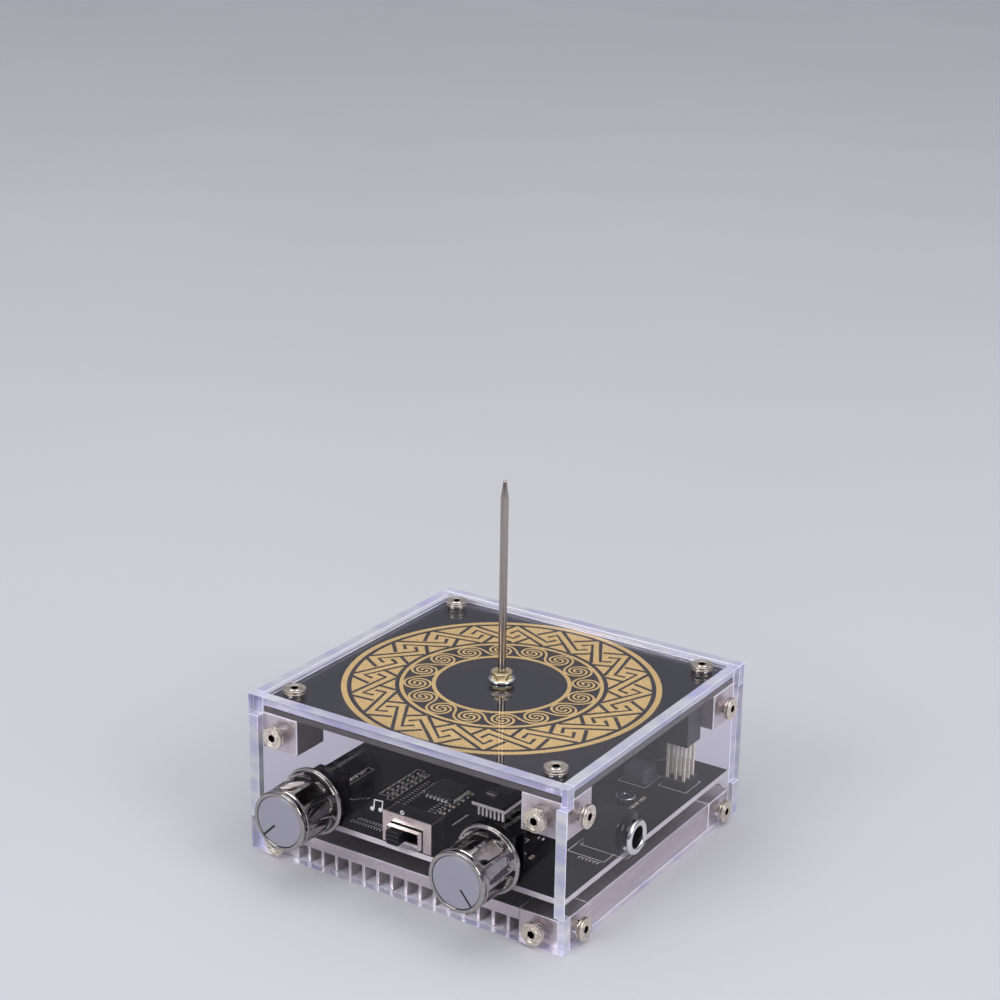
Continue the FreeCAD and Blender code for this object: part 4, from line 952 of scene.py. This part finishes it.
def make_switch_marks():
    """White marks on the front wall over the switch: a plain note for music, and a small ring."""
    pieces = [drawn("note_stems", [NOTE_STEMS], NOTE_LINE, 0, INK_HEIGHT)]
    for x, height in NOTE_HEADS:
        head = turned("note_head", [(NOTE_HEAD_RADIUS, 0), (NOTE_HEAD_RADIUS, INK_HEIGHT)], 24)
        head.data.transform(Matrix.Translation((x * MM, height * MM, 0)))
        pieces.append(head)
    inner, outer = MARK_RING_RADII
    band = [(inner, 0), (outer, 0), (outer, INK_HEIGHT), (inner, INK_HEIGHT)]
    ring = turned("ring_mark", band, 28, closed=True)
    ring.data.transform(Matrix.Translation((MARK_RING[0] * MM, MARK_RING[1] * MM, 0)))
    marks = joined("switch_marks", [*pieces, ring])
    marks.data.transform(at((0, FRONT_FACE - HAIRLINE, 0), "front"))
    dress(marks, INK)


def make_small_parts():
    """Chip resistors and capacitors: a ceramic body between two tinned ends, in rows."""
    places = []
    for (x, y), (step_x, step_y), count, across in SMALL_PART_ROWS:
        for number in range(count):
            spot = (x + step_x * number, y + step_y * number, BOARD_TOP)
            places.append(at(spot) @ spun(90 if across else 0))
    body = block("chip_part", (-0.55, -0.4, 0.02), (0.55, 0.4, 0.45), 0.04, 1)
    ends = joined("chip_part_ends", [block("end", (x, -0.42, 0.01), (x + 0.3, 0.42, 0.48), 0.05, 1)
                                     for x in (-0.82, 0.52)])
    dress(copies("chip_resistors", copy_at(body, Matrix()), places[::2]), CHIP_EPOXY)
    dress(copies("chip_capacitors", body, places[1::2]), CERAMIC)
    dress(copies("chip_part_tinned_ends", ends, places), PIN_TIN)


def make_board_parts():
    """Chips, header and inductor on the main board, and its screws."""
    # The board screws' trimmed edges take bright nickel: a painted highlight on the black screws
    softened("board_screws", 0.3, OXIDE_AND_PAINTED_SHADE, SILVER)
    softened("logic_chips", 0.1, CHIP_EPOXY)
    softened("audio_module_board", 0.05, MAIN_BOARD)
    softened("header_base", 0.15, BLACK_PLASTIC)
    softened("header_socket", 0.2, BLACK_PLASTIC)
    softened("inductor", 0.4, FERRITE)


def make_audio_parts():
    """The chip, the crystal and the folded antenna track on the audio board."""
    low, high = reach("audio_module_board")
    floor_z = high.z + HAIRLINE
    chip = block("module_chip", (low.x + 2.4, low.y + 8, floor_z),
                 (high.x - 2.4, low.y + 13.8, high.z + 0.9), 0.1)
    dress(chip, CHIP_EPOXY)
    crystal = block("module_crystal", (low.x + 1.2, low.y + 5, floor_z),
                    (low.x + 4.4, low.y + 6.6, high.z + 0.7), 0.12)
    dress(crystal, TIN)
    near, far = ANTENNA_REACH
    bends = [(low.x + ANTENNA_STEP + number // 2 * ANTENNA_STEP,
              high.y - (near if (number + 1) // 2 % 2 else far)) for number in range(ANTENNA_BENDS)]
    dress(drawn("module_antenna", [bends], ANTENNA_LINE, floor_z, floor_z + INK_HEIGHT), PIN_GOLD)


def make_capacitors():
    """The tall capacitors: black shrunk sleeves with a groove, and metal lids."""
    low, high = reach("reservoir_capacitors")
    radius = (high.y - low.y) / 2
    neck = radius - 0.25
    sleeve = [(radius - 0.8, low.z), (radius, low.z + 0.5), (radius, low.z + 1.6), (neck, low.z + 1.9),
              (neck, low.z + 2.2), (radius, low.z + 2.5), (radius, high.z - 0.5),
              (radius - 0.5, high.z), (radius - 0.9, high.z), (radius - 0.9, high.z - 0.25)]
    lid = [(radius - 0.92, high.z - 0.3), (radius - 0.92, high.z - 0.12), (radius - 1.1, high.z - 0.1)]
    places = [at((x, low.y + radius, 0)) for x in (low.x + radius, high.x - radius)]
    cans = copies("capacitor_sleeves", smooth(turned("sleeve", sleeve, 56)), places)
    dress(cans, BLACK_PLASTIC, replaces=["reservoir_capacitors"])
    dress(copies("capacitor_lids", turned("lid", lid, 56), places), TIN)


def make_power_socket():
    """The power socket: black body and a polished ring."""
    softened("power_socket_body", 0.15, BLACK_PLASTIC)
    low, high = reach("power_socket_ring")
    outer = (high.y - low.y) / 2
    width = high.x - low.x
    ring = [(3.02, 0.02), (outer, 0.02), (outer, width * 0.5), (outer - 0.25, width * 0.85),
            (outer - 0.6, width), (3.5, width), (3.1, width * 0.8), (3.02, width * 0.5)]
    piece = smooth(turned("socket_ring", ring, 72, closed=True), 50)
    piece.data.transform(at((low.x, (low.y + high.y) / 2, (low.z + high.z) / 2), "right"))
    dress(piece, SILVER, replaces=["power_socket_ring"])


# ---------------------------------------------------------------- stage, light and camera

def make_floor():
    """A plain pale paper floor."""
    deselect()
    bpy.ops.mesh.primitive_plane_add(size=FLOOR_SIDE, location=(0, 0, 0))
    floor = bpy.context.active_object
    floor.name = "floor"
    material, tree, shader = start_material("pale paper sweep", "#D2D2D7", 0.8)
    add_grain(tree, shader, 300.0, ("#D0D0D5", "#D4D4D9"))
    floor.data.materials.append(material)


def make_room():
    """A soft room: dim near the horizon and brighter overhead."""
    world = bpy.data.worlds.new("soft studio")
    bpy.context.scene.world = world
    world.use_nodes = True
    tree = world.node_tree
    tree.nodes.clear()
    place = add_node(tree, "ShaderNodeTexCoord")
    parts = add_node(tree, "ShaderNodeSeparateXYZ", links={"Vector": place.outputs["Generated"]})
    height = add_node(tree, "ShaderNodeMapRange", {"interpolation_type": "SMOOTHSTEP"},
                      {"From Min": 0.3, "From Max": 0.75}, {"Value": parts.outputs["Z"]})
    sky = add_node(tree, "ShaderNodeMix", {"data_type": "RGBA"},
                   {6: linear("#7C7C86"), 7: linear("#EDEDF4")}, {0: height.outputs["Result"]})
    room = add_node(tree, "ShaderNodeBackground", inputs={"Strength": 0.8},
                    links={"Color": sky.outputs[2]})
    add_node(tree, "ShaderNodeOutputWorld", links={"Surface": room.outputs["Background"]})


def make_lamps():
    """Three soft area lamps: overhead, front and right."""
    for name, spot, side, power in LAMPS:
        light = bpy.data.lights.new(name, "AREA")
        light.size = side
        light.energy = power
        lamp = bpy.data.objects.new(name, light)
        lamp.location = spot
        aim = Vector(LAMP_AIM) - Vector(spot)
        lamp.rotation_euler = aim.to_track_quat("-Z", "Y").to_euler()
        bpy.context.scene.collection.objects.link(lamp)


def make_camera():
    """The camera, where the photographer's stood."""
    azimuth, elevation = math.radians(CAMERA_AZIMUTH), math.radians(CAMERA_ELEVATION)
    back = Vector((math.sin(azimuth) * math.cos(elevation), -math.cos(azimuth) * math.cos(elevation),
                   math.sin(elevation)))
    lens = bpy.data.cameras.new("photo camera")
    lens.lens = CAMERA_LENS
    lens.sensor_width = 36
    lens.clip_start = 0.01
    camera = bpy.data.objects.new("photo camera", lens)
    camera.location = (Vector(CAMERA_TARGET) + back * CAMERA_DISTANCE) * MM
    turn = back.to_track_quat("Z", "Y") @ Quaternion((0, 0, 1), math.radians(CAMERA_ROLL))
    camera.rotation_euler = turn.to_euler()
    bpy.context.scene.collection.objects.link(camera)
    bpy.context.scene.camera = camera


finish_nodes()
make_blocks_and_floor()
make_clear_sheets()
make_ornament()
make_case_screws()
make_needle()
make_knob("left")
make_knob("right")
make_potentiometers()
make_switch()
make_print()
make_switch_marks()
make_small_parts()
make_board_parts()
make_audio_parts()
make_capacitors()
make_power_socket()
make_floor()
make_room()
make_lamps()
make_camera()
bpy.context.scene.view_settings.view_transform = "Standard"
